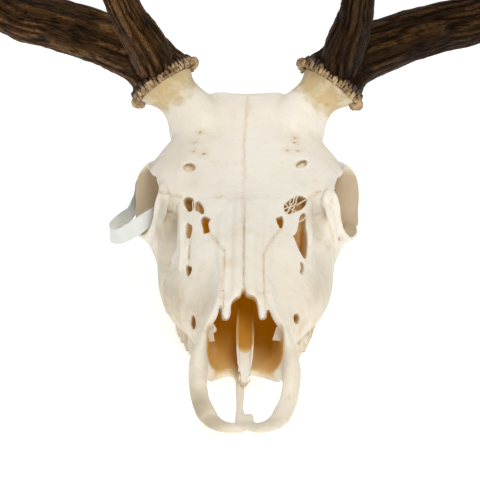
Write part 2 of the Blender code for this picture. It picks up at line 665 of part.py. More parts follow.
def antler_nodes(side, sign):
    prefix = "antler_" + side + "_"
    beam_path = mirror_all(BEAM_PATH, sign)
    top_path = mirror_all(CROWN_TOP, sign)
    front_path = mirror_all(CROWN_FRONT, sign)
    whole = antler_tube("beam", beam_path, BEAM_RADII, 14)
    axis = burr_axis(sign)
    low = Vector(mirrored(BURR, sign)) + axis * BASE_HEIGHT
    seat = Vector(mirrored(BURR, sign)) - axis * ANTLER_SEAT
    fork, rise = [Vector(mirrored(v, sign)) for v in UPPER_FORK]
    base = copy_of(whole, prefix + "base")
    boolean(base, [burr_ring(sign)], 'UNION')
    boolean(base, [room("low", [(low, axis), (seat, -axis)], GAP / 2)], 'INTERSECT')
    lower = copy_of(whole, prefix + "beam_lower")
    boolean(lower, [room("mid", [(low, -axis), (fork, rise)], GAP / 2)], 'INTERSECT')
    upper = copy_of(whole, prefix + "beam_upper")
    boolean(upper, [room("high", [(fork, -rise), (low, -axis)], GAP / 2)], 'INTERSECT')
    remove([whole])
    brow = antler_tube(prefix + "brow_tine", BROW_PATHS[sign], BROW_RADII, 12)
    trez = antler_tube(prefix + "trez_tine", mirror_all(TREZ_PATH, sign), TREZ_RADII, 10)
    front = antler_tube(prefix + "crown_front", front_path, CROWN_RADII, 10)
    back = antler_tube(prefix + "crown_back", mirror_all(CROWN_BACK, sign), CROWN_RADII, 10)
    top = antler_tube(prefix + "crown_top", top_path, CROWN_TOP_RADII, 10)
    fat_beam = antler_tube("fat", beam_path, BEAM_RADII, 14, CLEARANCE)
    fat_burr = burr_ring(sign)
    fat_burr.data.transform(Matrix.Translation(axis * GAP * MM))
    fat_top = antler_tube("fat_top", top_path, CROWN_TOP_RADII, 10, CLEARANCE)
    fat_front = antler_tube("fat_front", front_path, CROWN_RADII, 10, CLEARANCE)
    boolean(brow, [copy_of(fat_beam, "c"), fat_burr], 'DIFFERENCE')
    boolean(trez, [copy_of(fat_beam, "c")], 'DIFFERENCE')
    boolean(top, [copy_of(fat_beam, "c")], 'DIFFERENCE')
    boolean(front, [copy_of(fat_beam, "c"), copy_of(fat_top, "d")], 'DIFFERENCE')
    boolean(back, [fat_beam, fat_top, fat_front], 'DIFFERENCE')
    nodes = [base, lower, upper, brow, trez, front, back, top]
    for node in nodes:
        keep_largest(node)
    return nodes


def strap():
    # A flat plastic band looped through the right eye socket and round the bar behind it.
    centre = [(-63, 240, 85.5), (-69, 237, 83), (-75, 235.5, 79.5), (-82, 237, 73.5), (-90, 240, 67.5),
              (-97, 243.5, 63.5), (-102.5, 250, 62), (-105, 261, 62), (-103.5, 273, 62.5), (-98, 284, 65),
              (-91.5, 290, 68.5), (-87.5, 294, 77), (-84, 298.5, 88), (-78, 300, 95)]
    path = catmull(centre, 3)
    rings = []
    for point, tangent, side, top in path_frames(path, Vector((0, -0.25, 1))):
        half_wide = top * (STRAP_WIDTH / 2)
        half_thin = side * (STRAP_THICKNESS / 2)
        rings.append([point + half_wide + half_thin, point - half_wide + half_thin, point - half_wide - half_thin,
                      point + half_wide - half_thin])
    return loft("tag_strap", rings)


def material(name, look):
    made = bpy.data.materials.new(name)
    made.use_nodes = True
    shader = made.node_tree.nodes["Principled BSDF"]
    colour, roughness = look
    shader.inputs["Base Color"].default_value = (*colour, 1.0)
    shader.inputs["Roughness"].default_value = roughness
    shader.inputs["Metallic"].default_value = 0.0
    return made


def finish(objects, look):
    for obj in objects:
        obj.data.materials.clear()
        obj.data.materials.append(material(obj.name, look))
        obj.data.shade_smooth()
        obj.data.set_sharp_from_angle(angle=math.radians(50))


def stand_on_origin(objects):
    # All nodes hang from one empty, placed so that the middle of the underside is the origin.
    corners = [v.co for obj in objects for v in obj.data.vertices]
    low = Vector([min(c[i] for c in corners) for i in range(3)])
    high = Vector([max(c[i] for c in corners) for i in range(3)])
    anchor = bpy.data.objects.new("skull_anchor", None)
    bpy.context.scene.collection.objects.link(anchor)
    anchor.location = (-(low.x + high.x) / 2, -(low.y + high.y) / 2, -low.z)
    for obj in objects:
        obj.parent = anchor
    print("size", [round((high[i] - low[i]) / MM, 1) for i in range(3)], "anchor", anchor.location[:])


def main():
    for obj in list(bpy.data.objects):
        bpy.data.objects.remove(obj)
    bones = part_bones(make_cranium())
    add_teeth(bones["maxilla_left"], 1)
    add_teeth(bones["maxilla_right"], -1)
    bone_objects = [*bones.values(), make_vomer()]
    antlers = antler_nodes("left", 1) + antler_nodes("right", -1)
    band = strap()
    finish(bone_objects, BONE)
    finish(antlers, DARK_ANTLER)
    finish([band], WHITE_PLASTIC)
    stand_on_origin([*bone_objects, *antlers, band])
    for obj in [*bone_objects, *antlers, band]:
        print(obj.name, sum(len(p.vertices) - 2 for p in obj.data.polygons))


main()
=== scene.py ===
# Red deer skull with its antlers, life size: the finish of every bone, tooth, antler and strap.
# Shapes are drawn in millimetres: x to the animal's left, y back from the front of the upper jaw, z up.
import math
import random

import bmesh
import bpy
import numpy as np
from mathutils import Matrix, Vector
from mathutils.bvhtree import BVHTree


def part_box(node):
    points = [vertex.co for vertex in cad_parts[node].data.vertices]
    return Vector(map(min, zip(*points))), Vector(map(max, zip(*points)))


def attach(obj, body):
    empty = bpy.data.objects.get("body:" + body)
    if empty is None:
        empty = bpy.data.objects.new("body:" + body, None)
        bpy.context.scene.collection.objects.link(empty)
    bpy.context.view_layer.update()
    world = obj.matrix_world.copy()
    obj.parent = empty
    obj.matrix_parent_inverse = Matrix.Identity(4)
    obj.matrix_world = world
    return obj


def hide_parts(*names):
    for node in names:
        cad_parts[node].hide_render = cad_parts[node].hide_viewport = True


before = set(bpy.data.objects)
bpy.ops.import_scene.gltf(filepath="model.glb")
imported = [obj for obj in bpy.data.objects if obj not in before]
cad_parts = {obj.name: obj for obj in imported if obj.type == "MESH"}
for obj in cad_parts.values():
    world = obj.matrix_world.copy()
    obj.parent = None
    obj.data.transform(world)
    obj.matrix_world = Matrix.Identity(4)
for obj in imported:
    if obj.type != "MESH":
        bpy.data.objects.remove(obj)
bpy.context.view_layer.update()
mm = 0.001
vomerLow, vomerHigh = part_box("vomer")
origin = Vector(((vomerLow.x + vomerHigh.x) / 2, vomerLow.y - 46 * mm, 0))  # the vomer starts 46 mm back
sides = (("left", 1), ("right", -1))

# The camera: its place, degrees down and rolled, and in pixels its focal length, middle column and frame.
view = {"place": (0, -998, 441), "down": 17.0, "roll": 0.55, "focal": 1700.0, "column": 246.0, "side": 480}

bone = {"coarseVoxel": 1.25, "fineVoxel": 1.05, "waveHeight": 0.35, "waveSize": 26.0, "nasalShift": -1.0}
orbit = {"middle": (76, 250, 86)}
burr = {"middle": (66, 318, 170), "axis": (0.57, 0.31, 0.76)}

# Half sections of the face: y, then x and z from the roof's middle round the cheek to the palate.
faceSections = [
    (58, (0, 42), (9, 42), (20, 42), (30, 34), (29, 22), (15, 17), (0, 18)),
    (74, (0, 52), (9, 52), (21, 50), (29, 36), (27, 21), (14, 17), (0, 19)),
    (95, (0, 67), (12, 66), (20, 58), (27, 42), (26, 21), (17, 16), (0, 19)),
    (120, (0, 78), (15, 76), (27, 65), (36, 42), (32, 18), (21, 15), (0, 21)),
    (148, (0, 87), (17, 86), (34, 76), (50, 44), (40, 17), (27, 15), (0, 23)),
    (178, (0, 97), (20, 95), (42, 85), (62, 43), (50, 16), (32, 15), (0, 24)),
    (205, (0, 106), (28, 104), (51, 93), (66, 57), (55, 17), (36, 16), (0, 25)),
    (228, (0, 114), (38, 113), (62, 103), (68, 66), (54, 26), (34, 20), (0, 30)),
    (250, (0, 125), (44, 123), (69, 110), (60, 86), (36, 58), (20, 40), (0, 42)),
    (275, (0, 139), (46, 133.5), (72, 113.5), (52, 95), (38, 70), (22, 50), (0, 48)),
    (298, (0, 154), (38, 151), (56.5, 124), (46, 102), (40, 70), (22, 52), (0, 50)),
    (316, (0, 160), (32, 159.5), (53, 132), (46, 100), (40, 70), (22, 52), (0, 50)),
]


def place(p):
    return origin + Vector(p) * mm


def drawn(p):
    # The other way, from a place in the world to the drawing's millimetres.
    return (p - origin) / mm


# The camera, and sight lines from it.
def makeCamera():
    camera = bpy.data.objects.new("camera", bpy.data.cameras.new("camera"))
    bpy.context.scene.collection.objects.link(camera)
    down = math.radians(view["down"])
    ahead = Vector((0, math.cos(down), -math.sin(down)))
    turn = ahead.to_track_quat('-Z', 'Y').to_matrix() @ Matrix.Rotation(math.radians(view["roll"]), 3, 'Z')
    camera.matrix_world = Matrix.Translation(place(view["place"])) @ turn.to_4x4()
    camera.data.angle = 2 * math.atan(view["side"] / 2 / view["focal"])
    camera.data.shift_x = (view["side"] / 2 - view["column"]) / view["side"]
    camera.data.clip_start = 0.05
    bpy.context.scene.camera = camera
    return turn


cameraTurn = makeCamera()


def sightLine(px, py):
    # Direction from the camera through a point of the photograph.
    across, up = (px - view["column"]) / view["focal"], (view["side"] / 2 - py) / view["focal"]
    return (cameraTurn @ Vector((across, up, -1))).normalized()


def catmull(points, perSpan, closed=False):
    vectors = [Vector(p) for p in points]
    if closed:
        padded = [vectors[-1], *vectors, vectors[0], vectors[1]]
        spans = len(vectors)
    else:
        padded = [2 * vectors[0] - vectors[1], *vectors, 2 * vectors[-1] - vectors[-2]]
        spans = len(vectors) - 1
    result = []
    for i in range(spans):
        a, b, c, d = padded[i:i + 4]
        for k in range(perSpan):
            t = k / perSpan
            result.append(0.5 * (2 * b + (c - a) * t + (2 * a - 5 * b + 4 * c - d) * t * t
                                 + (3 * b - a - 3 * c + d) * t ** 3))
    if not closed:
        result.append(vectors[-1])
    return result


def alongCurve(values, count):
    curve = [v.x for v in catmull([(v, 0, 0) for v in values], 24)]
    last = len(curve) - 1
    return [curve[round(i * last / (count - 1))] for i in range(count)]


def addObject(name, mesh):
    made = bpy.data.objects.new(name, mesh)
    bpy.context.scene.collection.objects.link(made)
    return made


def fromBmesh(name, bm):
    bmesh.ops.recalc_face_normals(bm, faces=bm.faces)
    mesh = bpy.data.meshes.new(name)
    bm.to_mesh(mesh)
    bm.free()
    return addObject(name, mesh)


def loft(name, rings):
    bm = bmesh.new()
    loops = [[bm.verts.new(place(p)) for p in ring] for ring in rings]
    for low, high in zip(loops, loops[1:]):
        for i in range(len(low)):
            j = (i + 1) % len(low)
            bm.faces.new((low[i], low[j], high[j], high[i]))
    bm.faces.new(loops[0])
    bm.faces.new(loops[-1])
    return fromBmesh(name, bm)


def smoothLoft(name, rows, perSpan):
    # Sections of equally many points, with smooth lines from one to the next.
    return loft(name, zip(*[catmull(column, perSpan) for column in zip(*rows)]))


def pathFrames(path, up):
    frames = []
    for i, point in enumerate(path):
        tangent = (path[min(i + 1, len(path) - 1)] - path[max(i - 1, 0)]).normalized()
        side = tangent.cross(up).normalized()
        frames.append((point, tangent, side, side.cross(tangent).normalized()))
    return frames


def tube(name, points, widths, heights=None, count=20, perSpan=6, up=(0, 0, 1), blunt=0.6):
    # Half widths and half heights at the points. Without heights the tube is round.
    heights = heights or widths
    path = catmull(points, perSpan)
    frames = pathFrames(path, Vector(up))
    turn = [2 * math.pi * k / count for k in range(count)]
    rings = []
    for (point, _, side, top), w, h in zip(frames, *[alongCurve(v, len(path)) for v in (widths, heights)]):
        rings.append([point + side * (w * math.cos(a)) + top * (h * math.sin(a)) for a in turn])
    if blunt:
        first, last = frames[0], frames[-1]
        startReach = blunt * min(widths[0], heights[0])
        endReach = blunt * min(widths[-1], heights[-1])
        rings.insert(0, [first[0] + (p - first[0]) * 0.55 - first[1] * startReach for p in rings[0]])
        rings.append([last[0] + (p - last[0]) * 0.55 + last[1] * endReach for p in rings[-1]])
    return loft(name, rings)


def ball(name, middle, radii, tilt=0.0):
    bm = bmesh.new()
    bmesh.ops.create_icosphere(bm, subdivisions=4, radius=1.0)
    turn = Matrix.Rotation(math.radians(tilt), 4, 'X')
    scale = Matrix.Diagonal((*[r * mm for r in radii], 1.0))
    bmesh.ops.transform(bm, matrix=Matrix.Translation(place(middle)) @ turn @ scale, verts=bm.verts)
    return fromBmesh(name, bm)


def flip(point, sign, shift=0.0):
    return (point[0] * sign + shift, point[1], point[2])


def flipAll(points, sign, shift=0.0):
    return [flip(p, sign, shift) for p in points]


def bake(obj):
    # The object's modifiers become its mesh.
    evaluated = obj.evaluated_get(bpy.context.evaluated_depsgraph_get())
    mesh = bpy.data.meshes.new_from_object(evaluated)
    obj.modifiers.clear()
    old = obj.data
    obj.data = mesh
    bpy.data.meshes.remove(old)
    return obj


def removeAll(objects):
    for obj in objects:
        mesh = obj.data
        bpy.data.objects.remove(obj)
        bpy.data.meshes.remove(mesh)


def joinAll(name, objects):
    bm = bmesh.new()
    for obj in objects:
        bm.from_mesh(obj.data)
    removeAll(objects)
    mesh = bpy.data.meshes.new(name)
    bm.to_mesh(mesh)
    bm.free()
    return addObject(name, mesh)


def remesh(obj, voxel, rounds):
    grid = obj.modifiers.new("grid", 'REMESH')
    grid.mode = 'VOXEL'
    grid.voxel_size = voxel * mm
    relax = obj.modifiers.new("relax", 'SMOOTH')
    relax.factor = 0.5
    relax.iterations = rounds
    return bake(obj)


def cut(obj, others, operation='DIFFERENCE'):
    # One Boolean with a collection of closed shapes, which are used up.
    group = bpy.data.collections.new("shapes")
    for other in others:
        group.objects.link(other)
    change = obj.modifiers.new("cut", 'BOOLEAN')
    change.operation = operation
    change.solver = 'MANIFOLD'
    change.operand_type = 'COLLECTION'
    change.collection = group
    bake(obj)
    removeAll(others)
    bpy.data.collections.remove(group)
    return obj


def copyOf(obj, name):
    return addObject(name, obj.data.copy())


def room(name, planes):
    # A closed block bounded by planes, each a point and an outward direction.
    bm = bmesh.new()
    bmesh.ops.create_cube(bm, size=3.0)
    for point, normal in planes:
        geometry = bm.verts[:] + bm.edges[:] + bm.faces[:]
        sliced = bmesh.ops.bisect_plane(bm, geom=geometry, plane_co=place(point),
                                        plane_no=Vector(normal).normalized(), clear_outer=True)
        rim = [e for e in sliced["geom_cut"] if isinstance(e, bmesh.types.BMEdge)]
        bmesh.ops.edgeloop_fill(bm, edges=rim)
    return fromBmesh(name, bm)


def soften(obj, share, rounds):
    # Smooths the places where share, a value from 0 to 1 for each point, is high.
    group = obj.vertex_groups.new(name="soft")
    for index in np.nonzero(share > 0.01)[0].tolist():
        group.add([index], float(share[index]), 'REPLACE')
    relax = obj.modifiers.new("relax", 'SMOOTH')
    relax.factor = 0.5
    relax.iterations = rounds
    relax.vertex_group = group.name
    bake(obj)
    obj.vertex_groups.clear()
    return obj


# Geometry Nodes: a tree with named inputs, its nodes, its usual end, and its use on an object.
def nodeTree(name, inputs):
    tree = bpy.data.node_groups.new(name, 'GeometryNodeTree')
    for label, kind, value in inputs:
        socket = tree.interface.new_socket(label, in_out='INPUT', socket_type=kind)
        if value is not None:
            socket.default_value = value
    tree.interface.new_socket("Geometry", in_out='OUTPUT', socket_type='NodeSocketGeometry')
    return tree


def geoNode(tree, kind, settings=None, inputs=None):
    made = tree.nodes.new(kind)
    for key, value in (settings or {}).items():
        setattr(made, key, value)
    for key, value in (inputs or {}).items():
        if isinstance(value, bpy.types.NodeSocket):
            tree.links.new(value, made.inputs[key])
        else:
            made.inputs[key].default_value = value
    return made


def endTree(tree, geometry):
    end = tree.nodes.new('NodeGroupOutput')
    tree.links.new(geometry, end.inputs[0])
    return tree


def coatTree(tree, geometry, material):
    real = geoNode(tree, 'GeometryNodeRealizeInstances', {}, {"Geometry": geometry})
    coat = geoNode(tree, 'GeometryNodeSetMaterial', {}, {"Geometry": real.outputs[0], "Material": material})
    return endTree(tree, coat.outputs[0])


def runTree(obj, tree, values):
    modifier = obj.modifiers.new(tree.name, 'NODES')
    modifier.node_group = tree
    for item in tree.interface.items_tree:
        if item.item_type == 'SOCKET' and item.in_out == 'INPUT' and item.name in values:
            modifier[item.identifier] = values[item.name]
    return bake(obj)


def largestOnly(obj):
    # Keeps the surface with the most points, told apart by Blender's own island index.
    tree = nodeTree("islands", [("Mesh", 'NodeSocketGeometry', None)])
    start = tree.nodes.new('NodeGroupInput')
    island = tree.nodes.new('GeometryNodeInputMeshIsland')
    store = geoNode(tree, 'GeometryNodeStoreNamedAttribute', {"data_type": 'INT', "domain": 'POINT'},
                    {"Geometry": start.outputs[0], "Name": "island", "Value": island.outputs[0]})
    endTree(tree, store.outputs["Geometry"])
    runTree(obj, tree, {})
    bpy.data.node_groups.remove(tree)
    index = np.zeros(len(obj.data.vertices), np.int32)
    obj.data.attributes["island"].data.foreach_get("value", index)
    obj.data.attributes.remove(obj.data.attributes["island"])
    if index.max(initial=0) == 0:
        return obj
    keep = np.bincount(index).argmax()
    bm = bmesh.new()
    bm.from_mesh(obj.data)
    spare = [v for v, here in zip(bm.verts, index) if here != keep]
    bmesh.ops.delete(bm, geom=spare, context='VERTS')
    bm.to_mesh(obj.data)
    bm.free()
    return obj


# Arrays of points, in the drawing's millimetres.
def pointsOf(mesh):
    flat = np.zeros(len(mesh.vertices) * 3, np.float32)
    mesh.vertices.foreach_get("co", flat)
    return (flat.reshape(-1, 3).astype(np.float64) - np.array(origin)) / mm


def normalsOf(mesh):
    flat = np.zeros(len(mesh.vertices) * 3, np.float32)
    mesh.vertex_normals.foreach_get("vector", flat)
    return flat.reshape(-1, 3).astype(np.float64)


def movePoints(mesh, points):
    flat = (points * mm + np.array(origin)).astype(np.float32)
    mesh.vertices.foreach_set("co", flat.ravel())
    mesh.update()


def storeValue(mesh, name, values):
    attribute = mesh.attributes.new(name, 'FLOAT', 'POINT')
    attribute.data.foreach_set("value", np.asarray(values, np.float32))


def storeVector(mesh, name, values):
    attribute = mesh.attributes.new(name, 'FLOAT_VECTOR', 'POINT')
    attribute.data.foreach_set("vector", np.asarray(values, np.float32).ravel())


def rampUp(low, high, value):
    t = np.clip((value - low) / (high - low), 0, 1)
    return t * t * (3 - 2 * t)


def between(start, full, fade, end, value):
    # Rises from start to full and falls from fade to end.
    return rampUp(start, full, value) * rampUp(end, fade, value)


def scatter(ix, iy, iz, seed):
    h = (ix * 374761393 + iy * 668265263 + iz * 1440670441 + seed * 974634777) & 0xffffffff
    h = ((h ^ (h >> 13)) * 1274126177) & 0xffffffff
    return ((h ^ (h >> 16)) & 0xffff) / 32767.5 - 1.0


def lumps(points, size, seed=0):
    # Smooth noise from -1 to 1 with features of about the given size.
    q = points / size
    cell = np.floor(q).astype(np.int64)
    f = q - cell
    f = f * f * (3 - 2 * f)
    total = np.zeros(len(points))
    for dx, dy, dz in np.ndindex(2, 2, 2):
        weight = np.abs(1 - dx - f[:, 0]) * np.abs(1 - dy - f[:, 1]) * np.abs(1 - dz - f[:, 2])
        total += weight * scatter(cell[:, 0] + dx, cell[:, 1] + dy, cell[:, 2] + dz, seed)
    return total


# The cranium's closed forms.
def faceLoft():
    rows = [[(x, y, z) for x, z in points] for y, *points in faceSections]
    columns = [catmull(column, 5) for column in zip(*rows)]
    rings = []
    for half in zip(*columns):
        right = catmull(half, 5)
        left = [Vector((-p.x, p.y, p.z)) for p in right[-2:0:-1]]
        rings.append(right + left)
    return loft("face", rings)


# Tubes that make up the bones, on the left side: points, half widths and, where they differ, half heights.
premaxilla = {
    "ramus": {"points": [(6, 5, 8.5), (15, 7.5, 9), (22.5, 15, 11), (27.5, 28, 17), (30, 40, 25),
                         (30.8, 52, 31), (29, 66, 35), (26, 82, 38)],
              "widths": [5, 6, 6.8, 6.8, 6.4, 6.2, 5.6, 5], "heights": [3.2, 3.6, 4, 5, 8, 11, 14, 16]},
    "process": {"points": [(28.8, 54, 36), (28.2, 62, 44), (25.6, 70, 50.5), (21.6, 78, 56), (18.8, 88, 60),
                           (17, 100, 65), (17, 112, 69)],
                "widths": [3.6, 3.3, 3.2, 3.2, 3, 3, 3], "heights": [6, 5.5, 5, 5, 5, 5, 5]},
}
# One palatine process is whole, the other a broken stub.
palate = {
    "rod": {"points": [(-3, 3, 8), (-3, 28, 12.5), (-3, 52, 18.5), (-3, 70, 22)],
            "widths": [3.4] * 4, "heights": [2.8, 2.6, 2.5, 3]},
    "stub": {"points": [(3.6, 5, 8.5), (3.5, 11, 10), (3.3, 19, 12)],
             "widths": [3.8, 3.4, 3.0], "heights": [2.8, 2.4, 2]},
}
nasal = {
    "nasalSide": {"points": [(12, 76.5, 56.2), (12.3, 81, 58.4), (12.6, 90, 62.5), (13.4, 110, 71.5),
                             (15, 140, 82.5), (16, 175, 93), (15, 205, 101), (13, 226, 107)],
                  "widths": [2.6, 3.1, 3.4, 3.6, 4, 4, 4, 4], "heights": [2.1, 2.4, 2.6, 3, 3, 3, 3, 3]},
    "nasalRidge": {"points": [(8.6, 88, 64), (5, 97, 69.5), (4, 110, 74), (4, 140, 84), (4, 175, 95),
                              (4, 205, 103.5), (4, 228, 109)],
                   "widths": [2, 3.5, 4.4, 4.6, 4.6, 4.6, 4.6], "heights": [1.4, 1.8, 2.4, 3, 3, 3, 3]},
}
# The brow, the bar behind the eye, the rim below it, the front wall and the cheek arch. The bar and the rim
# stand farther out on the left.
eyeSocket = {
    "browEdge": {"points": [(58, 214, 101), (61.5, 222, 105.5), (63, 236, 107.5), (67.5, 257, 108.5),
                            (71, 268, 109.8), (73.2, 276, 111.2)],
                 "widths": [4, 3.8, 3.6, 3.6, 3.6, 3.6], "heights": [4, 3.4, 3.4, 3.4, 3.4, 3.4]},
    "bar": {"points": [(67, 281, 111.5), (72, 282, 106), (75.6, 282, 98), (77, 280, 86), (77.4, 277, 76),
                       (79, 270, 66)],
            "widths": [3.4, 3.2, 3.0, 3.0, 3.4, 4.2], "heights": [5, 8, 9.8, 10.2, 9.4, 7.5],
            "up": (1, 0, 0), "leftOut": 1.4},
    "rim": {"points": [(80, 270, 65), (80.5, 260, 62.5), (76, 246, 65), (72, 236, 69), (68.6, 230, 76),
                       (66.6, 227.5, 85), (65.4, 226, 94), (62.6, 224, 103)],
            "widths": [4.4, 4.2, 4.2, 3.9, 3.7, 3.5, 3.4, 3.4],
            "heights": [5, 5, 5.4, 5, 4.2, 3.8, 3.6, 3.6], "leftOut": 1.4},
    "front": {"points": [(58, 211, 98), (61, 216, 84), (63, 218, 71), (66, 224, 60)],
              "widths": [9, 10, 9, 7], "heights": [5, 6, 6, 5], "up": (1, 0, 0)},
    "arch": {"points": [(55, 190, 44), (59.5, 205, 48), (62.6, 220, 52), (67, 234, 57.5), (72.5, 248, 61.5),
                        (78.5, 264, 63), (80, 280, 68), (79.5, 293, 72), (75, 315, 75), (62, 336, 72),
                        (46, 348, 70)],
             "widths": [5, 5, 4.5, 4.4, 4.2, 4.5, 4.2, 4, 3.5, 5, 6],
             "heights": [8, 9, 8.5, 7, 6, 6, 6.4, 6.6, 6, 7, 8]},
}
# The bony stalk narrows under the burr and spreads into the forehead.
pedicle = {
    "pedicle": {"points": [(29, 298, 118), (35, 303, 131), (40.5, 306.5, 140.5), (45.4, 309, 147.4),
                           (51, 312, 154), (56, 314, 159.4), (60.4, 316, 164), burr["middle"]],
                "widths": [25, 26, 24, 20.6, 17.9, 18, 21.2, 27], "count": 40, "up": (0, 1, 0), "blunt": 0},
}
# The back of the skull: balls by middle, radii and tilt, tubes across the middle, and tubes on each side.
braincaseBalls = {"brain": ((0, 326, 102), (46, 62, 50), -8), "occiput": ((0, 376, 84), (50, 13, 36), 12)}
braincaseTubes = {
    "nuchal": {"points": [(-50, 366, 78), (-44, 376, 96), (-26, 385, 110), (0, 389, 116), (26, 385, 110),
                          (44, 376, 96), (50, 366, 78)],
               "widths": [5, 4, 4, 5, 4, 4, 5], "heights": [4, 3.4, 3.4, 4, 3.4, 3.4, 4]},
    "base": {"points": [(0, 262, 50), (0, 300, 49), (0, 340, 50), (0, 384, 50)],
             "widths": [9, 10, 15, 17], "heights": [8, 8, 8, 9]},
    "crest": {"points": [(-36, 308, 155.5), (-18, 313, 156.6), (0, 313, 156.6), (18, 313, 156.6),
                         (36, 308, 155.5)],
              "widths": [6] * 5, "heights": [3.2] * 5},
}
sideBalls = {"condyle": ((17, 386, 58), (11, 12, 17), -20), "mastoid": ((50, 360, 74), (11, 15, 21), 0),
             "bulla": ((23, 336, 46), (9.5, 15, 12), 0), "temple": ((52, 334, 70), (17, 11, 8), 0)}
sideTubes = {
    "meatus": {"points": [(34, 346, 66), (46, 346, 70), (56, 344, 74)], "widths": [7, 6.5, 6]},
    "jugular": {"points": [(44, 362, 62), (41, 364, 38), (37, 360, 16), (35, 357, -2)],
                "widths": [9, 6, 4.5, 3.6], "heights": [7, 6.5, 6, 5], "up": (0, 1, 0)},
    "wing": {"points": [(18, 216, 26), (15, 240, 30), (14, 262, 40), (14, 276, 50)],
             "widths": [3.2, 2.2, 2.2, 3.6], "heights": [8, 14, 13, 6]},
}


def makeTubes(lines, sign=1, shift=0.0):
    made = []
    for name, line in lines.items():
        points = flipAll(line["points"], sign, shift + max(sign, 0) * line.get("leftOut", 0.0))
        options = {key: line[key] for key in ("heights", "up", "count", "blunt") if key in line}
        made.append(tube(name, points, line["widths"], **options))
    return made


def makeBalls(balls, sign=1):
    return [ball(name, flip(middle, sign), radii, tilt) for name, (middle, radii, tilt) in balls.items()]


def craniumForms():
    forms = [faceLoft(), *makeTubes(palate), *makeBalls(braincaseBalls), *makeTubes(braincaseTubes)]
    for sign in (-1, 1):
        forms += makeBalls(sideBalls, sign) + makeTubes(sideTubes, sign)
    for sign in (-1, 1):
        forms += makeTubes(premaxilla, sign) + makeTubes(nasal, sign, bone["nasalShift"])
        forms += makeTubes(eyeSocket, sign) + makeTubes(pedicle, sign)
    return forms


# Hollows of the cranium. The gaps in the palate differ from side to side.
palateGaps = {
    -1: [(6.1, 20), (6, 44), (6.3, 62), (8.8, 70.5), (12.6, 71), (18, 65.5), (22.6, 56), (25, 45),
         (24.4, 33), (20, 23), (12, 20)],
    1: [(0.3, 23), (0.3, 44), (1.2, 63), (4.2, 71), (8.6, 71.6), (15, 67), (21.6, 58), (25, 46), (24.4, 33),
        (20, 23), (10, 21)],
}


def airwaySection(y, halfWidth, low, high):
    ring = []
    for k in range(28):
        angle = 2 * math.pi * k / 28
        c, s = math.cos(angle), math.sin(angle)
        ring.append(Vector((halfWidth * math.copysign(abs(c) ** 0.6, c), y,
                            (low + high) / 2 + (high - low) / 2 * math.copysign(abs(s) ** 0.6, s))))
    return ring


def airwayHollow():
    stations = [(40, 25.4, 20, 92), (58, 25.8, 20.4, 84), (68, 25.4, 21.4, 74), (76, 24.4, 22.4, 54),
                (88, 23.6, 23.2, 57), (98, 23.4, 24, 62), (120, 26, 26, 70), (150, 30, 28, 77),
                (178, 22, 32, 82), (198, 8, 45, 78)]
    return smoothLoft("airway", [airwaySection(*s) for s in stations], 3)


def incisorGap(sign):
    # The long opening in the front of the palate, on each side of the rods.
    outline = catmull([(x, y, 0) for x, y in palateGaps[sign]], 4, closed=True)
    return loft("incisorGap", [[Vector((p.x * sign, p.y, z)) for p in outline] for z in (8, 30)])


middleHollows = {
    "throat": {"points": [(0, 222, 26), (0, 250, 30), (0, 292, 33)],
               "widths": [11, 11, 8], "heights": [7, 12, 10], "count": 28},
    "spine": {"points": [(0, 350, 76), (0, 374, 70), (0, 404, 66)],
              "widths": [8, 11.5, 14], "heights": [8, 11, 13], "count": 28},
}
sideHollows = {
    "socket": {"points": [(104, 246, 84), orbit["middle"], (62, 252, 88), (44, 257, 91), (34, 262, 92)],
               "widths": [25.5, 23.5, 22.5, 15, 6], "heights": [23.5, 20.5, 21.5, 15, 6], "count": 40},
    "templeGap": {"points": [(66, 306, 122), (64, 308, 96), (63, 306, 70), (62, 300, 44)],
                  "widths": [11, 11, 11, 12], "heights": [17, 20, 20, 18], "count": 28, "up": (0, 1, 0)},
    "ear": {"points": [(64, 343, 75), (52, 345, 72), (42, 346, 69)], "widths": [4.2, 3.4, 2.4]},
}


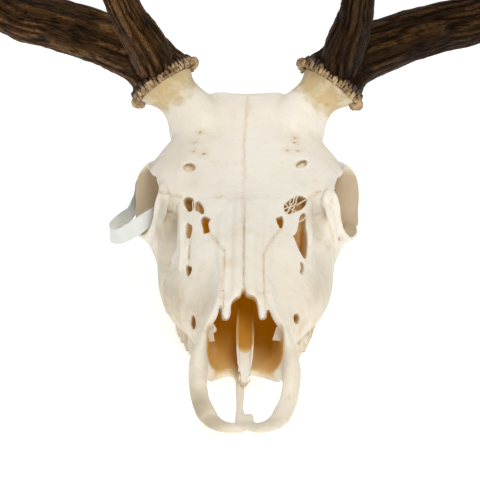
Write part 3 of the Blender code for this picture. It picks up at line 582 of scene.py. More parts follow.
# Openings drawn over the photograph, in its 480 by 480 pixels, then carried onto the bone. Right is the
# animal's right, which the photograph shows on the left.
openings = {
    "topGapRight": {"depth": 10, "edge": [
        (183.4, 197.6), (187.6, 196.2), (192.6, 198), (193.6, 203), (192.8, 209.6), (188.6, 211.4),
        (185.6, 207), (183.4, 202)]},
    "sideGapRight": {"depth": 5, "edge": [
        (195, 199.6), (199.4, 201), (202.6, 205.4), (203.8, 211), (203.4, 215.4), (200.6, 212.6),
        (197.4, 210.6), (195, 209.6)]},
    "amberGapRight": {"depth": 15, "edge": [
        (201.7, 215.6), (206, 216), (211, 219), (208.4, 221), (208.3, 226), (209.4, 231.6), (203.3, 233.4),
        (202.7, 227.6), (200.8, 221)]},
    "tanGapRight": {"depth": 3.8, "edge": [
        (184.8, 221.6), (188.6, 222.4), (191.5, 226), (191.6, 230.5), (190.6, 234.8), (187, 237.4),
        (184.8, 234.6), (185.2, 228)]},
    "slitRight": {"depth": 5, "edge": [
        (187.6, 241), (189, 240.4), (189.4, 246), (188.8, 253), (188.2, 258.4), (186.2, 258), (186.4, 251),
        (187, 246)]},
    "lastGapRight": {"depth": 7, "edge": [
        (184.8, 264.8), (188.4, 265.4), (191.4, 267), (191, 271.4), (188.6, 276.4), (185.6, 275.6),
        (184.6, 270.4)]},
    "topGapLeft": {"depth": 10, "edge": [
        (284.2, 204), (288, 200), (292.3, 197.2), (296.6, 195), (301, 194.5), (305.4, 196.6),
        (308.4, 199.4), (306, 204.6), (301.5, 209.1), (295.6, 211.4), (290.2, 213.6), (286.4, 213.4),
        (284.4, 209)]},
    "amberGapLeft": {"depth": 15, "edge": [
        (276.2, 216.6), (279.2, 216.6), (280.6, 213.8), (283, 217), (283.6, 222), (282.4, 227),
        (281.2, 229.6), (278.8, 225.8), (277, 221)]},
    "longGapLeft": {"depth": 3.6, "edge": [
        (300.6, 213.6), (303.7, 210), (306, 207), (307, 214), (306.4, 226), (307.8, 233), (308.1, 242),
        (307.8, 250), (307, 256.8), (304.4, 258.6), (300.5, 252.5), (297, 245), (295, 238.6), (293.2, 236),
        (296.4, 233), (298.6, 226), (299.2, 221)]},
    "lastGapLeft": {"depth": 4.2, "edge": [
        (300.4, 261.6), (303.8, 261.6), (304.8, 267), (304.6, 270.6), (302.4, 274.4), (300.4, 273.4),
        (300.8, 267.6)]},
    "browHoleRight": {"depth": 5, "edge": [
        (182.6, 166.4), (184.6, 163), (188.9, 162.2), (193.2, 163), (195.2, 166), (193.4, 169),
        (188.9, 170), (184.6, 169)]},
    "browHoleLeft": {"depth": 5, "edge": [
        (296.2, 164.4), (297.6, 161.4), (301.8, 159.4), (306, 159), (307.6, 161.4), (306, 164.4),
        (301.8, 166), (297.6, 166)]},
    "cheekHoleRight": {"depth": 12, "edge": [
        (190.2, 322), (190.8, 317), (192.6, 314.8), (194.6, 317.6), (195.7, 323), (195, 328),
        (193.2, 329.4), (191, 327)]},
    "cheekHoleLeft": {"depth": 12, "edge": [
        (293.9, 318.4), (295, 314.6), (297.4, 313.6), (299.8, 315.6), (300.4, 319.6), (299.2, 323.4),
        (297.2, 324.4), (294.8, 322)]},
    "noseNotch": {"depth": 20, "edge": [
        (243.6, 283.6), (241.8, 289.6), (240.6, 294.6), (237.1, 296.4), (233.3, 299.2), (231.2, 303.5),
        (230.9, 309.6), (231, 313.4), (229.8, 317), (227.6, 319.2), (225, 320.4), (225, 334), (264.4, 334),
        (264.4, 319.6), (261.8, 318.6), (259.6, 316.8), (258.6, 313), (258.6, 309.6), (257.6, 302.4),
        (256.2, 297.2), (252.6, 295), (247, 293.6), (245.6, 289.6)]},
    "crevasseRight": {"depth": 14, "edge": [
        (220.8, 301.6), (222.3, 305.6), (222.6, 311), (223, 315.4), (224.4, 318.4), (228, 320), (228, 336),
        (209.4, 336), (211.2, 327), (214.6, 321.4), (217, 317), (218.6, 311.6), (219.2, 305.6)]},
    "crevasseLeft": {"depth": 14, "edge": [
        (267.2, 301.6), (265.7, 305.6), (265.6, 311), (265.4, 314.6), (264.2, 317.6), (261, 319.4),
        (261, 336), (280.4, 336), (277.8, 328), (274.4, 322), (271.8, 317.6), (269.6, 311.6),
        (268.8, 305.6)]},
}


def skinHits(tree, pixels):
    # Where the sight lines through some pixels meet the skin, and which way the skin faces there.
    hits = [tree.ray_cast(place(view["place"]), sightLine(px, py))[:2] for px, py in pixels]
    return [(p, n) for p, n in hits if p is not None]


def skinPoints(tree, pixels):
    return [drawn(p) for p, _ in skinHits(tree, pixels)]


def openingCutter(name, tree, edge, depth, lift=5.0, lean=0.5):
    # A prism through the outline on the skin, which leans half way between its normal and the sight line.
    hits = skinHits(tree, edge)
    middle = sum((p for p, n in hits), Vector()) / len(hits)
    normal = sum((n for p, n in hits), Vector()).normalized()
    toCamera = (place(view["place"]) - middle).normalized()
    out = (normal * lean + toCamera * (1 - lean)).normalized()
    outline = catmull([p for p, n in hits], 2, closed=True)
    heights = [(p - middle).dot(out) for p in outline]
    top = max(heights) + lift * mm
    bottom = min(heights) - depth * mm
    flat = [p - out * h for p, h in zip(outline, heights)]
    return loft(name, [[drawn(middle + (p - middle) * shrink + out * level) for p in flat]
                       for level, shrink in ((top, 1.0), (0.0, 1.0), (bottom, 0.82))])


def skinTree(obj):
    bm = bmesh.new()
    bm.from_mesh(obj.data)
    tree = BVHTree.FromBMesh(bm)
    bm.free()
    return tree


# Lines between bones, over the photograph, and on the sides that it doesn't show.
seams = {
    "foreheadUpper": {"jag": 0.3, "faint": 0.6, "pixels": [
        (247.4, 97), (246.6, 112), (245.2, 128), (244.2, 144), (243.9, 160)]},
    "foreheadLower": {"jag": 0.9, "faint": 0.0, "pixels": [
        (243.9, 160), (244.6, 170), (243.6, 180), (243.8, 190), (243, 201), (243.6, 214)]},
    "nasalMiddle": {"jag": 0.15, "faint": 0.25, "pixels": [
        (243.6, 214), (243.6, 240), (243.4, 262), (244, 288)]},
    "nasalEdgeRight": {"jag": 0.2, "faint": 0.3, "pixels": [
        (222.4, 308), (221.8, 294), (221.6, 280), (223.6, 266), (224.6, 252)]},
    "nasalEdgeLeft": {"jag": 0.2, "faint": 0.3, "pixels": [
        (266.8, 308), (264.8, 294), (264, 280), (263.4, 266), (263.6, 253)]},
    "cheekCrossRight": {"jag": 0.2, "faint": 0.0, "pixels": [(209.2, 232), (216, 241), (224.4, 251.4)]},
    "cheekCrossLeft": {"jag": 0.3, "faint": 0.1, "pixels": [
        (281, 229), (275, 236), (269, 244), (264, 253)]},
    "tearRight": {"jag": 0.8, "faint": 0.1, "pixels": [
        (159, 191.5), (165, 192.6), (171, 194), (177, 196), (182, 197)]},
    "tearLeft": {"jag": 0.8, "faint": 0.1, "pixels": [(327, 189), (321, 191), (315, 194.6), (309, 198)]},
    "crackRight": {"jag": 0.3, "faint": 0.5, "pixels": [(163.4, 270.6), (168, 271.2), (172.6, 271.4)]},
}
drawnSeams = {
    "jaw": {"jag": 0.8, "faint": 0.2, "points": [
        (21, 92, 60), (26, 84, 50), (29, 78, 40), (30, 72, 28), (28, 68, 18)]},
    "cheek": {"jag": 0.7, "faint": 0.3, "points": [
        (62, 200, 88), (66, 208, 74), (67, 206, 60), (66, 214, 50), (70, 226, 48)]},
    "arch": {"jag": 0.7, "faint": 0.2, "points": [(80, 286, 80), (80, 298, 74), (78, 310, 68)]},
    "crown": {"jag": 1.2, "faint": 0.1, "points": [
        (0, 332, 151), (14, 330, 151), (28, 326, 146), (40, 322, 132), (46, 318, 112), (45, 310, 90)]},
    "temporal": {"jag": 1.0, "faint": 0.1, "points": [
        (46, 312, 84), (48, 326, 98), (46, 344, 104), (44, 360, 98), (44, 372, 92)]},
    "back": {"jag": 1.0, "faint": 0.2, "points": [(0, 384, 117), (18, 381, 113), (36, 374, 101)]},
    "palateMiddle": {"jag": 0.4, "faint": 0.2, "points": [
        (0, 74, 19), (0, 120, 21), (0, 170, 24), (0, 216, 26)]},
    "palateCross": {"jag": 1.0, "faint": 0.2, "points": [
        (0, 176, 24), (12, 172, 23), (22, 180, 20), (28, 200, 17)]},
}


def jagged(points, amount, seed):
    # A suture wanders from side to side at every couple of millimetres.
    rng = random.Random(seed)
    path = catmull(points, 8)
    result = []
    for i, p in enumerate(path):
        along = (path[min(i + 1, len(path) - 1)] - path[max(i - 1, 0)]).normalized()
        side = along.cross(Vector((0, -0.6, 0.8))).normalized()
        result.append(p + side * rng.uniform(-amount, amount))
    fine = []
    for a, b in zip(result, result[1:]):
        steps = max(1, int((b - a).length / 0.6))
        fine += [a.lerp(b, k / steps) for k in range(steps)]
    return fine


def seamPoints(tree):
    # Every point of every line, on the skin, with how faint the line is.
    points, faint = [], []
    paths = [(line, skinPoints(tree, line["pixels"]), 100 + i) for i, line in enumerate(seams.values())]
    for i, line in enumerate(drawnSeams.values()):
        for sign in (-1, 1):
            path = [drawn(tree.find_nearest(place(p))[0]) for p in flipAll(line["points"], sign)]
            paths.append((line, path, 200 + 2 * i + sign))
    for line, path, seed in paths:
        made = jagged(path, line["jag"], seed)
        points += made
        faint += [line["faint"]] * len(made)
    return np.array(points), np.array(faint)


def seamField(points, lines, reach=5.0):
    # Distance from each point to the nearest line, and how faint that line is.
    distance = np.full(len(points), reach)
    faintness = np.ones(len(points))
    where, faint = lines
    for start in range(0, len(where), 40):
        part = where[start:start + 40]
        low, high = part.min(0) - reach, part.max(0) + reach
        near = np.nonzero(np.all((points > low) & (points < high), axis=1))[0]
        if len(near) == 0:
            continue
        gaps = np.linalg.norm(points[near][:, None, :] - part[None], axis=2)
        best = gaps.argmin(1)
        value = gaps[np.arange(len(near)), best]
        closer = value < distance[near]
        distance[near[closer]] = value[closer]
        faintness[near[closer]] = faint[start:start + 40][best[closer]]
    return distance, faintness


# Soft dents and swellings: pixels of their middles, radii in mm across and down the face, height in mm.
reliefs = {
    "browGroove": {"pixels": [(190, 176), (300, 172)], "radii": (7, 15, 15), "height": -1.6},
    "foreheadDip": {"pixels": [(244, 190)], "radii": (26, 26, 26), "height": -1.2},
    "browSwell": {"pixels": [(205, 140), (284, 138)], "radii": (14, 22, 22), "height": 1.4},
    "cheekDip": {"pixels": [(205, 285), (281, 285)], "radii": (9, 30, 22), "height": -1.8},
    "cheekSwellRight": {"pixels": [(178, 300)], "radii": (12, 22, 18), "height": 1.2},
    "cheekSwellLeft": {"pixels": [(312, 298)], "radii": (12, 22, 18), "height": 1.2},
}
ridges = {
    "lacrimalRight": {"pixels": [(179, 206), (180.5, 220), (181.5, 240), (182, 256), (181, 268)],
                      "width": 1.8, "height": 2.2},
    "lacrimalLeft": {"pixels": [(310, 203), (310.5, 220), (310.5, 240), (310, 256), (309, 266)],
                     "width": 2.0, "height": 1.8},
}
# Hollows with one steep side, towards the middle of the face, and a gentle one away from it.
troughs = {
    "tearRight": {"pixels": [(172, 214), (172, 224), (172, 236), (171, 250)],
                  "steep": 3.6, "gentle": 9.0, "depth": 6.5},
    "tearLeft": {"pixels": [(317, 216), (317, 226), (317, 238), (316, 250)],
                 "steep": 3.6, "gentle": 9.0, "depth": 5.0},
    "channelRight": {"pixels": [(188, 236), (188, 244), (188, 254), (188, 264)],
                     "steep": 2.0, "gentle": 2.6, "depth": 1.5},
}
pits = {
    "pixels": [(200, 132.6), (195, 142.6), (193.4, 151.5), (203.7, 153.8), (218.9, 195.6), (295, 138),
               (287.6, 150.5), (298, 151), (327.5, 105), (294.5, 143), (170, 252), (166, 262), (222, 296),
               (262, 292), (300, 330), (206, 330), (176, 244), (322, 236), (329, 246)],
    "radius": (1.0, 1.5), "depth": 1.5,
}
# Uneven bone all over: height and size of the lumps, and the seed of each.
unevenness = [(bone["waveHeight"], bone["waveSize"], 1), (0.16, 9.0, 2), (0.06, 3.2, 3)]


def pitPlaces(tree):
    rng = random.Random(41)
    found = []
    for pixel in pits["pixels"]:
        radius = rng.uniform(*pits["radius"])
        found += [(np.array(p), radius) for p in skinPoints(tree, [pixel])]
    return found


def addReliefs(height, points, normals, tree):
    facing = rampUp(-0.1, 0.4, normals @ np.array((0.0, -0.55, 0.83)))
    for shape in reliefs.values():
        for middle in skinPoints(tree, shape["pixels"]):
            reach = np.linalg.norm((points - np.array(middle)) / np.array(shape["radii"]), axis=1)
            height += shape["height"] * (1 - rampUp(0.0, 1.5, reach)) * facing


def addRidges(height, points, tree):
    for shape in ridges.values():
        line = np.array(catmull(skinPoints(tree, shape["pixels"]), 8))
        distance, _ = seamField(points, (line, np.zeros(len(line))), 8.0)
        height += shape["height"] * np.exp(-(distance / shape["width"]) ** 2)


def addTroughs(height, points, tree, reach=34):
    for shape in troughs.values():
        line = np.array(catmull(skinPoints(tree, shape["pixels"]), 8))
        near = np.nonzero(np.all((points > line.min(0) - reach) & (points < line.max(0) + reach), axis=1))[0]
        gaps = np.linalg.norm(points[near][:, None, :] - line[None], axis=2)
        outward = np.abs(points[near][:, 0]) - np.abs(line[gaps.argmin(1), 0])
        width = np.where(outward > 0, shape["gentle"], shape["steep"])
        height[near] -= shape["depth"] * np.exp(-(gaps.min(1) / width) ** 2)


def addPits(height, points, tree):
    for middle, radius in pitPlaces(tree):
        near = np.nonzero(np.all(np.abs(points - middle) < 3 * radius, axis=1))[0]
        gap = np.linalg.norm(points[near] - middle, axis=1)
        height[near] -= pits["depth"] * np.exp(-(gap / radius) ** 2)


def sculptCranium(obj, tree, lines):
    points, normals = pointsOf(obj.data), normalsOf(obj.data)
    height = sum(share * lumps(points, size, seed) for share, size, seed in unevenness)
    addReliefs(height, points, normals, tree)
    addRidges(height, points, tree)
    addTroughs(height, points, tree)
    distance, faint = seamField(points, lines)
    height -= (0.55 - 0.4 * faint) * np.exp(-(distance / 0.9) ** 2)
    addPits(height, points, tree)
    roughRim = rampUp(40, 22, points[:, 2]) * between(100, 120, 215, 232, points[:, 1])
    height += roughRim * 0.5 * lumps(points, 2.6, 7)
    movePoints(obj.data, points + normals * height[:, None])


def depthBelow(mesh, tree):
    # How far each point lies under the skin that the hollows were cut into.
    deep = np.zeros(len(mesh.vertices))
    for i, vertex in enumerate(mesh.vertices):
        found, normal, _, gap = tree.find_nearest(vertex.co)
        if (vertex.co - found).dot(normal) < 0:
            deep[i] = gap / mm
    return deep


def softenShare(points):
    # The foot of each antler's stalk runs smoothly into the forehead, and the crest keeps its edge.
    foot = rampUp(246, 262, points[:, 1]) * between(112, 122, 148, 162, points[:, 2])
    crestEdge = rampUp(300, 306, points[:, 1]) * rampUp(40, 34, np.abs(points[:, 0]))
    return foot * (1 - crestEdge)


def burrFrame(sign):
    # The middle of the burr, and the way that the antler leaves the skull.
    return Vector(flip(burr["middle"], sign)), Vector(flip(burr["axis"], sign)).normalized()


def toBurr(points, sign):
    return np.linalg.norm(points - np.array(burrFrame(sign)[0]), axis=1)


def makeCranium():
    whole = remesh(joinAll("cranium", craniumForms()), bone["coarseVoxel"], 5)
    soften(whole, softenShare(pointsOf(whole.data)), 70)
    tree = skinTree(whole)
    print("cranium joined:", len(whole.data.vertices), "points")
    hollows = [airwayHollow(), *makeTubes(middleHollows)]
    for sign in (-1, 1):
        hollows += [*makeTubes(sideHollows, sign), incisorGap(sign)]
    hollows += [openingCutter(name, tree, shape["edge"], shape["depth"]) for name, shape in openings.items()]
    cut(whole, hollows)
    remesh(whole, bone["fineVoxel"], 1)
    print("cranium hollowed:", len(whole.data.vertices), "points")
    lines = seamPoints(tree)
    deep = depthBelow(whole.data, tree)
    storeValue(whole.data, "deep", deep)
    sculptCranium(whole, tree, lines)
    for sign in (-1, 1):
        middle, out = burrFrame(sign)
        seat = middle - out * 5
        cut(whole, [room("cap", [(seat, -out), (seat + out * 40, out)])])
    cut(whole, [room("floorCut", [((0, 0, 0), (0, 0, 1))])])
    largestOnly(whole)
    paintBone(whole.data, lines, tree)
    return whole, tree


# Planes that part the bones, for the left side, in the order of the cuts. The braincase is what is left.
bonePlanes = {
    "nasal": [((0, 0, 0), (-1, 0, 0)), ((13.6, 80, 0), (1, 0, 0)), ((0, 205, 105), (0, 1, 0)),
              ((0, 77, 46), (0, 0.406, -1))],
    "premaxilla": [((0, 0, 0), (-1, 0, 0)), ((0, 66, 12), (0, 52, -30))],
    "zygomatic": [((62, 0, 0), (-1, 0, 0)), ((0, 203, 0), (0, -1, 0)), ((0, 0, 105), (0, 0, 1))],
    "frontal": [((0, 207, 0), (0, -1, 0)), ((0, 207, 92), (0, 0.29, -1)), ((0, 333, 128), (0, 0.94, -0.34))],
    "maxilla": [((0, 0, 0), (-1, 0, 0)), ((0, 236, 0), (0, 1, 0))],
}


def boneRooms():
    rooms = []
    for name, planes in bonePlanes.items():
        if name == "frontal":
            rooms.append((name, planes))
            continue
        shift = bone["nasalShift"] if name == "nasal" else 0.0
        for side, sign in sides:
            rooms.append((name + "_" + side, [(flip(p, sign, shift), flip(n, sign)) for p, n in planes]))
    return rooms


def keepShading(mesh):
    # The bones' own smooth normals go along as a value, so that a cut between two bones can't be seen.
    storeVector(mesh, "skin", normalsOf(mesh))


def readAttribute(mesh, name):
    attribute = mesh.attributes[name]
    if attribute.data_type == 'FLOAT':
        flat = np.zeros(len(mesh.vertices), np.float32)
        attribute.data.foreach_get("value", flat)
        return flat[:, None]
    flat = np.zeros(len(mesh.vertices) * 3, np.float32)
    attribute.data.foreach_get("vector", flat)
    return flat.reshape(-1, 3)


def mendEdges(mesh, names):
    # Points made by a cut have no values of their own and take their neighbours' mean.
    edges = np.zeros(len(mesh.edges) * 2, np.int32)
    mesh.edges.foreach_get("vertices", edges)
    a, b = edges.reshape(-1, 2).T
    empty = np.linalg.norm(readAttribute(mesh, "skin"), axis=1) < 0.5
    links = [(a, b), (b, a)]
    count = np.zeros(len(empty))
    for here, there in links:
        use = empty[here] & ~empty[there]
        np.add.at(count, here[use], 1)
    for name in names:
        values = readAttribute(mesh, name)
        total = np.zeros(values.shape)
        for here, there in links:
            use = empty[here] & ~empty[there]
            np.add.at(total, here[use], values[there[use]])
        fill = empty & (count > 0)
        values[fill] = total[fill] / count[fill][:, None]
        key = "value" if values.shape[1] == 1 else "vector"
        mesh.attributes[name].data.foreach_set(key, values.ravel())


def shadeBySkin(mesh):
    skin = readAttribute(mesh, "skin").astype(np.float64)
    own = normalsOf(mesh)
    length = np.linalg.norm(skin, axis=1)
    skin[length < 0.3] = own[length < 0.3]
    skin /= np.linalg.norm(skin, axis=1)[:, None]
    mesh.shade_smooth()
    mesh.normals_split_custom_set_from_vertices(skin.tolist())
    mesh.attributes.remove(mesh.attributes["skin"])


def partPieces(whole, rooms, naming, last, values):
    # Each room takes its piece out of the whole, and what is left at the end is the last one.
    pieces = {}
    for name, planes in rooms:
        piece = copyOf(whole, naming.format(name))
        cut(piece, [room("inner", planes)], 'INTERSECT')
        pieces[name] = largestOnly(piece)
        cut(whole, [room("outer", planes)])
    whole.name = naming.format(last)
    pieces[last] = largestOnly(whole)
    for piece in pieces.values():
        mendEdges(piece.data, values)
        shadeBySkin(piece.data)
    return pieces


# Places where the bone is painted darker, partly stain and partly painted shade, in the tear pits and low on
# the sides of the face: pixel, radii in mm, strength.
shadeAndStainPlaces = [((169, 224), (9, 20, 20), 1.0), ((160, 232), (7, 10, 10), 0.8),
              ((166, 244), (9, 16, 14), 0.6), ((316, 220), (8, 18, 18), 0.6),
              ((322, 285), (14, 34, 24), 0.3), ((168, 292), (10, 30, 24), 0.4),
              ((178, 338), (10, 22, 16), 0.9), ((198, 405), (7, 16, 9), 0.9), ((210, 422), (16, 8, 6), 0.7),
              ((262, 424), (16, 7, 5), 0.45), ((160, 270), (8, 20, 20), 0.4),
              ((304, 345), (8, 16, 12), 0.5), ((208, 292), (8, 16, 12), 0.25)]
boneValues = ("skin", "deep", "glow", "socket", "stain", "agedAndShaded", "shadeAndStain", "seam", "faint")


def shadeAndStainShare(points, tree):
    total = np.zeros(len(points))
    for pixel, radii, strength in shadeAndStainPlaces:
        for middle in skinPoints(tree, [pixel]):
            reach = np.linalg.norm((points - np.array(middle)) / np.array(radii), axis=1)
            total = np.maximum(total, strength * rampUp(1.5, 0.2, reach))
    return total


def socketShadeShare(points, normals):
    # Painted shade lining the eye socket: its round wall, which faces its middle, and its back wall.
    _, y, z = orbit["middle"]
    radial = np.stack([points[:, 1] - y, points[:, 2] - z], axis=1)
    reach = np.linalg.norm(radial, axis=1)
    inward = -(normals[:, 1] * radial[:, 0] + normals[:, 2] * radial[:, 1]) / np.maximum(reach, 1)
    backWall = rampUp(262, 268, points[:, 1]) * rampUp(0.0, 0.5, -normals[:, 1])
    outer = rampUp(30, 40, np.abs(points[:, 0]))
    return rampUp(40, 34, reach) * np.maximum(rampUp(0.1, 0.5, inward), backWall) * outer


def glowShare(points, deep):
    # Light through thin walls: all of the nose, less in the gaps beside it, and in the holes of the cheeks.
    across, back, up = np.abs(points[:, 0]), points[:, 1], points[:, 2]
    nose = rampUp(33, 30, across) * between(57, 62, 200, 215, back) * rampUp(2.0, 6.5, deep)
    nose = nose * (0.45 + 0.55 * rampUp(16, 44, up)) * rampUp(12, 20, up)
    gap = 0.28 * rampUp(1.2, 3.5, deep) * between(140, 146, 216, 222, back) * rampUp(55, 62, up)
    hole = 0.7 * rampUp(1.0, 2.5, deep) * rampUp(34, 35, across) * between(100, 106, 134, 140, back)
    return np.maximum(np.maximum(nose, gap), hole)


def agedAndShadedShare(points, normals):
    # Tan low on the cheeks, at the tip of the muzzle and on the walls of the tear pits: partly the bone's
    # own aged colour, partly painted shade, which is stronger lower down and on the animal's right side.
    back, up = points[:, 1], points[:, 2]
    cheek = rampUp(78, 34, up) * between(70, 110, 215, 250, back)
    muzzle = rampUp(84, 66, back) * (0.55 + 0.35 * rampUp(30, 8, up))
    # Painted shade: the animal's right side of the face is darker.
    shadedSide = rampUp(0, -25, points[:, 0])
    pit = rampUp(0.55, 0.9, -normals[:, 0] * np.sign(points[:, 0])) * between(195, 205, 240, 250, back)
    share = np.maximum(cheek * (0.7 + 0.7 * shadedSide), muzzle * (0.9 + 0.4 * shadedSide)) + pit * 0.6
    return np.clip(share, 0, 1.3)


def paintBone(mesh, lines, tree):
    # What the bone's material reads at each point.
    points, normals = pointsOf(mesh), normalsOf(mesh)
    deep = readAttribute(mesh, "deep")[:, 0].astype(np.float64)
    mesh.attributes.remove(mesh.attributes["deep"])
    distance, faint = seamField(points, lines)
    # The pits join the lines as small dark spots: painted shade in them.
    for middle, radius in pitPlaces(tree):
        gap = np.linalg.norm(points - middle, axis=1) * 0.5 / radius
        faint[gap < distance] = 0.25
        distance = np.minimum(distance, gap)
    burrGap = np.minimum(*[toBurr(points, sign) for sign in (-1, 1)])
    # The depth below the skin carries painted shade into the openings; behind the eyes every hollow deeper
    # than 1.2 mm gets the same depth of 3.2 mm.
    inFront = deep * rampUp(232, 224, points[:, 1])
    values = {"deep": inFront + 3.2 * (points[:, 1] > 228) * (deep > 1.2), "glow": glowShare(points, deep),
              "agedAndShaded": agedAndShadedShare(points, normals), "socket": socketShadeShare(points, normals),
              "shadeAndStain": shadeAndStainShare(points, tree), "stain": 1 - rampUp(22, 42, burrGap), "seam": distance,
              "faint": faint}
    keepShading(mesh)
    for name, value in values.items():
        storeValue(mesh, name, value)


# Materials: a socket wrapper lets node maths be written as an expression.
class Signal:
    def __init__(self, look, socket):
        self.look, self.socket = look, socket

    def join(self, operation, a, b):
        return self.look.node('ShaderNodeMath', {"operation": operation}, {0: a, 1: b})

    def __add__(self, other):
        return self.join('ADD', self, other)

    def __sub__(self, other):
        return self.join('SUBTRACT', self, other)

    def __rsub__(self, other):
        return self.join('SUBTRACT', other, self)

    def __mul__(self, other):
        return self.join('MULTIPLY', self, other)

    __radd__ = __add__
    __rmul__ = __mul__


class Look:
    def __init__(self, name, **values):
        self.material = bpy.data.materials.new(name)
        self.material.use_nodes = True
        self.tree = self.material.node_tree
        self.shader = self.tree.nodes["Principled BSDF"]
        for key, value in values.items():
            self.shader.inputs[key.replace("_", " ")].default_value = value

    def node(self, kind, settings=None, inputs=None, out=0):
        made = self.tree.nodes.new(kind)
        for key, value in (settings or {}).items():
            setattr(made, key, value)
        for key, value in (inputs or {}).items():
            if isinstance(value, Signal):
                self.tree.links.new(value.socket, made.inputs[key])
            else:
                made.inputs[key].default_value = value
        return Signal(self, made.outputs[out])

    def value(self, name):
        return self.node('ShaderNodeAttribute', {"attribute_name": name}, out="Fac")

    def vector(self, name):
        return self.node('ShaderNodeAttribute', {"attribute_name": name}, out="Vector")

    def spot(self, scale=(1, 1, 1)):
        where = self.node('ShaderNodeTexCoord', out="Object")
        return self.node('ShaderNodeMapping', inputs={"Vector": where, "Scale": scale})

    def noise(self, where, scale, detail=4.0, rough=0.5, bend=0.0):
        return self.node('ShaderNodeTexNoise', inputs={"Vector": where, "Scale": scale, "Detail": detail,
                                                       "Roughness": rough, "Distortion": bend}, out="Fac")

    def ramp(self, value, low, high, bottom=0.0, top=1.0):
        sockets = {"Value": value, "From Min": low, "From Max": high, "To Min": bottom, "To Max": top}
        return self.node('ShaderNodeMapRange', {"interpolation_type": 'SMOOTHSTEP'}, sockets)

    def mix(self, factor, first, second, blend='MIX'):
        ends = [(*c, 1.0) if isinstance(c, tuple) else c for c in (first, second)]
        return self.node('ShaderNodeMix', {"data_type": 'RGBA', "blend_type": blend},
                         {0: factor, 6: ends[0], 7: ends[1]}, out=2)

    def feed(self, name, signal):
        self.tree.links.new(signal.socket, self.shader.inputs[name])

    def bump(self, height, strength, distance):
        self.feed("Normal", self.node('ShaderNodeBump', inputs={"Height": height, "Strength": strength,
                                                                "Distance": distance}))


boneTones = {
    "fresh": (0.82, 0.775, 0.68), "warm": (0.79, 0.72, 0.6), "patch": (0.66, 0.56, 0.4),
    "agedAndShaded": (0.6, 0.5, 0.345), "blotch": (0.46, 0.34, 0.2), "grain": (0.56, 0.46, 0.32),
    "yellow": (0.52, 0.385, 0.175), "socket": (0.46, 0.34, 0.2), "shadeAndStain": (0.4, 0.33, 0.22),
    "hollow": (0.68, 0.52, 0.27), "deepHollowShade": (0.46, 0.25, 0.07), "amberGlow": (0.56, 0.32, 0.085),
    "deepAmberGlow": (0.34, 0.14, 0.006), "halo": (0.6, 0.42, 0.2), "seam": (0.2, 0.12, 0.05),
    "glow": (1.0, 0.39, 0.0),
}


def boneLook():
    look = Look("dryBone", Subsurface_Weight=0.1, Subsurface_Scale=0.003, Emission_Strength=0.15)
    look.shader.inputs["Subsurface Radius"].default_value = (1.0, 0.55, 0.3)
    tone = boneTones
    spot = look.spot()
    broad = look.noise(spot, 14, 3)
    patch = look.noise(spot, 45, 4, 0.6)
    blotch = look.noise(spot, 110, 4, 0.65)
    grain = look.noise(spot, 420, 3, 0.6)
    names = ("deep", "socket", "stain", "glow", "agedAndShaded")
    deep, socket, stain, glow, tan = [look.value(name) for name in names]
    colour = look.mix(look.ramp(broad, 0.35, 0.7), tone["fresh"], tone["warm"])
    colour = look.mix(look.ramp(patch, 0.5, 0.78) * 0.5, colour, tone["patch"])
    # Tan, partly the bone's age and partly painted shade, low on the face and on its right side.
    agedAndShaded = tan * look.ramp(patch * 0.5 + blotch * 0.5, 0.3, 0.66, 0.25, 1.0)
    colour = look.mix(agedAndShaded * 0.8, colour, tone["agedAndShaded"])
    colour = look.mix(look.ramp(blotch, 0.6, 0.8) * (tan * 0.5 + 0.1), colour, tone["blotch"])
    colour = look.mix(look.ramp(grain, 0.56, 0.8) * 0.3, colour, tone["grain"])
    yellow = look.ramp(stain + (patch - 0.5) * 1.5 + (blotch - 0.5) * 1.1, 0.3, 1.12)
    colour = look.mix(yellow * 0.92, colour, tone["yellow"])
    # Painted shade inside the eye sockets.
    colour = look.mix(socket * 0.85, colour, tone["socket"])
    # Painted shade mixed with stain: grey-brown in the tear pits and low on the sides of the face.
    shadeAndStain = look.value("shadeAndStain") * look.ramp(patch * 0.6 + blotch * 0.4, 0.2, 0.6, 0.55, 1.0)
    colour = look.mix(shadeAndStain * 0.9, colour, tone["shadeAndStain"])
    # Tan inside the openings, darker the deeper they go: the tan is the bone's own, the darkening is painted
    # shade.
    hollow = look.ramp(deep + (patch - 0.5) * 2.0 + (blotch - 0.5) * 2.0, 1.4, 5.5)
    deeperShade = look.ramp(deep + (blotch - 0.5) * 6.0, 3.5, 12.0)
    inner = look.mix(deeperShade, tone["hollow"], tone["deepHollowShade"])
    colour = look.mix(hollow, colour, inner)
    # Painted light: amber where light would come through the thin walls of the nose, darker where the bone
    # is thicker.
    thick = look.ramp(deep + (patch - 0.5) * 8.0, 3.0, 15.0)
    amberGlow = look.mix(thick, tone["amberGlow"], tone["deepAmberGlow"])
    colour = look.mix(glow, colour, amberGlow)
    wander = (look.noise(spot, 700, 2) - 0.5) * 0.5
    line = look.ramp(look.value("seam") + wander, 0.62, 0.12) * (1 - look.value("faint") * 0.8)
    halo = look.ramp(look.value("seam"), 2.6, 0.3) * (0.35 - look.value("faint") * 0.1)
    colour = look.mix(halo, colour, tone["halo"])
    colour = look.mix(line * 0.8, colour, tone["seam"])
    look.feed("Base Color", colour)
    # Painted glow: the same places give off a little orange light, standing in for light through the thin
    # bone.
    look.feed("Emission Color", look.mix(glow * look.ramp(deep, 2.0, 9.0), (0, 0, 0), tone["glow"]))
    look.feed("Roughness", look.ramp(patch, 0.2, 0.8, 0.42, 0.66))
    look.bump(grain * 0.6 + look.noise(spot, 160, 5, 0.65) * 1.1 - line * 0.8, 0.42, 0.0009)
    return look.material


antlerTones = {
    "dark": (0.008, 0.0035, 0.0014), "brown": (0.066, 0.029, 0.009), "crest": (0.27, 0.135, 0.05),
    "furrow": (0.004, 0.002, 0.001), "speck": (0.2, 0.115, 0.055), "tip": (0.55, 0.44, 0.3),
    "shade": (0.36, 0.34, 0.32),
}


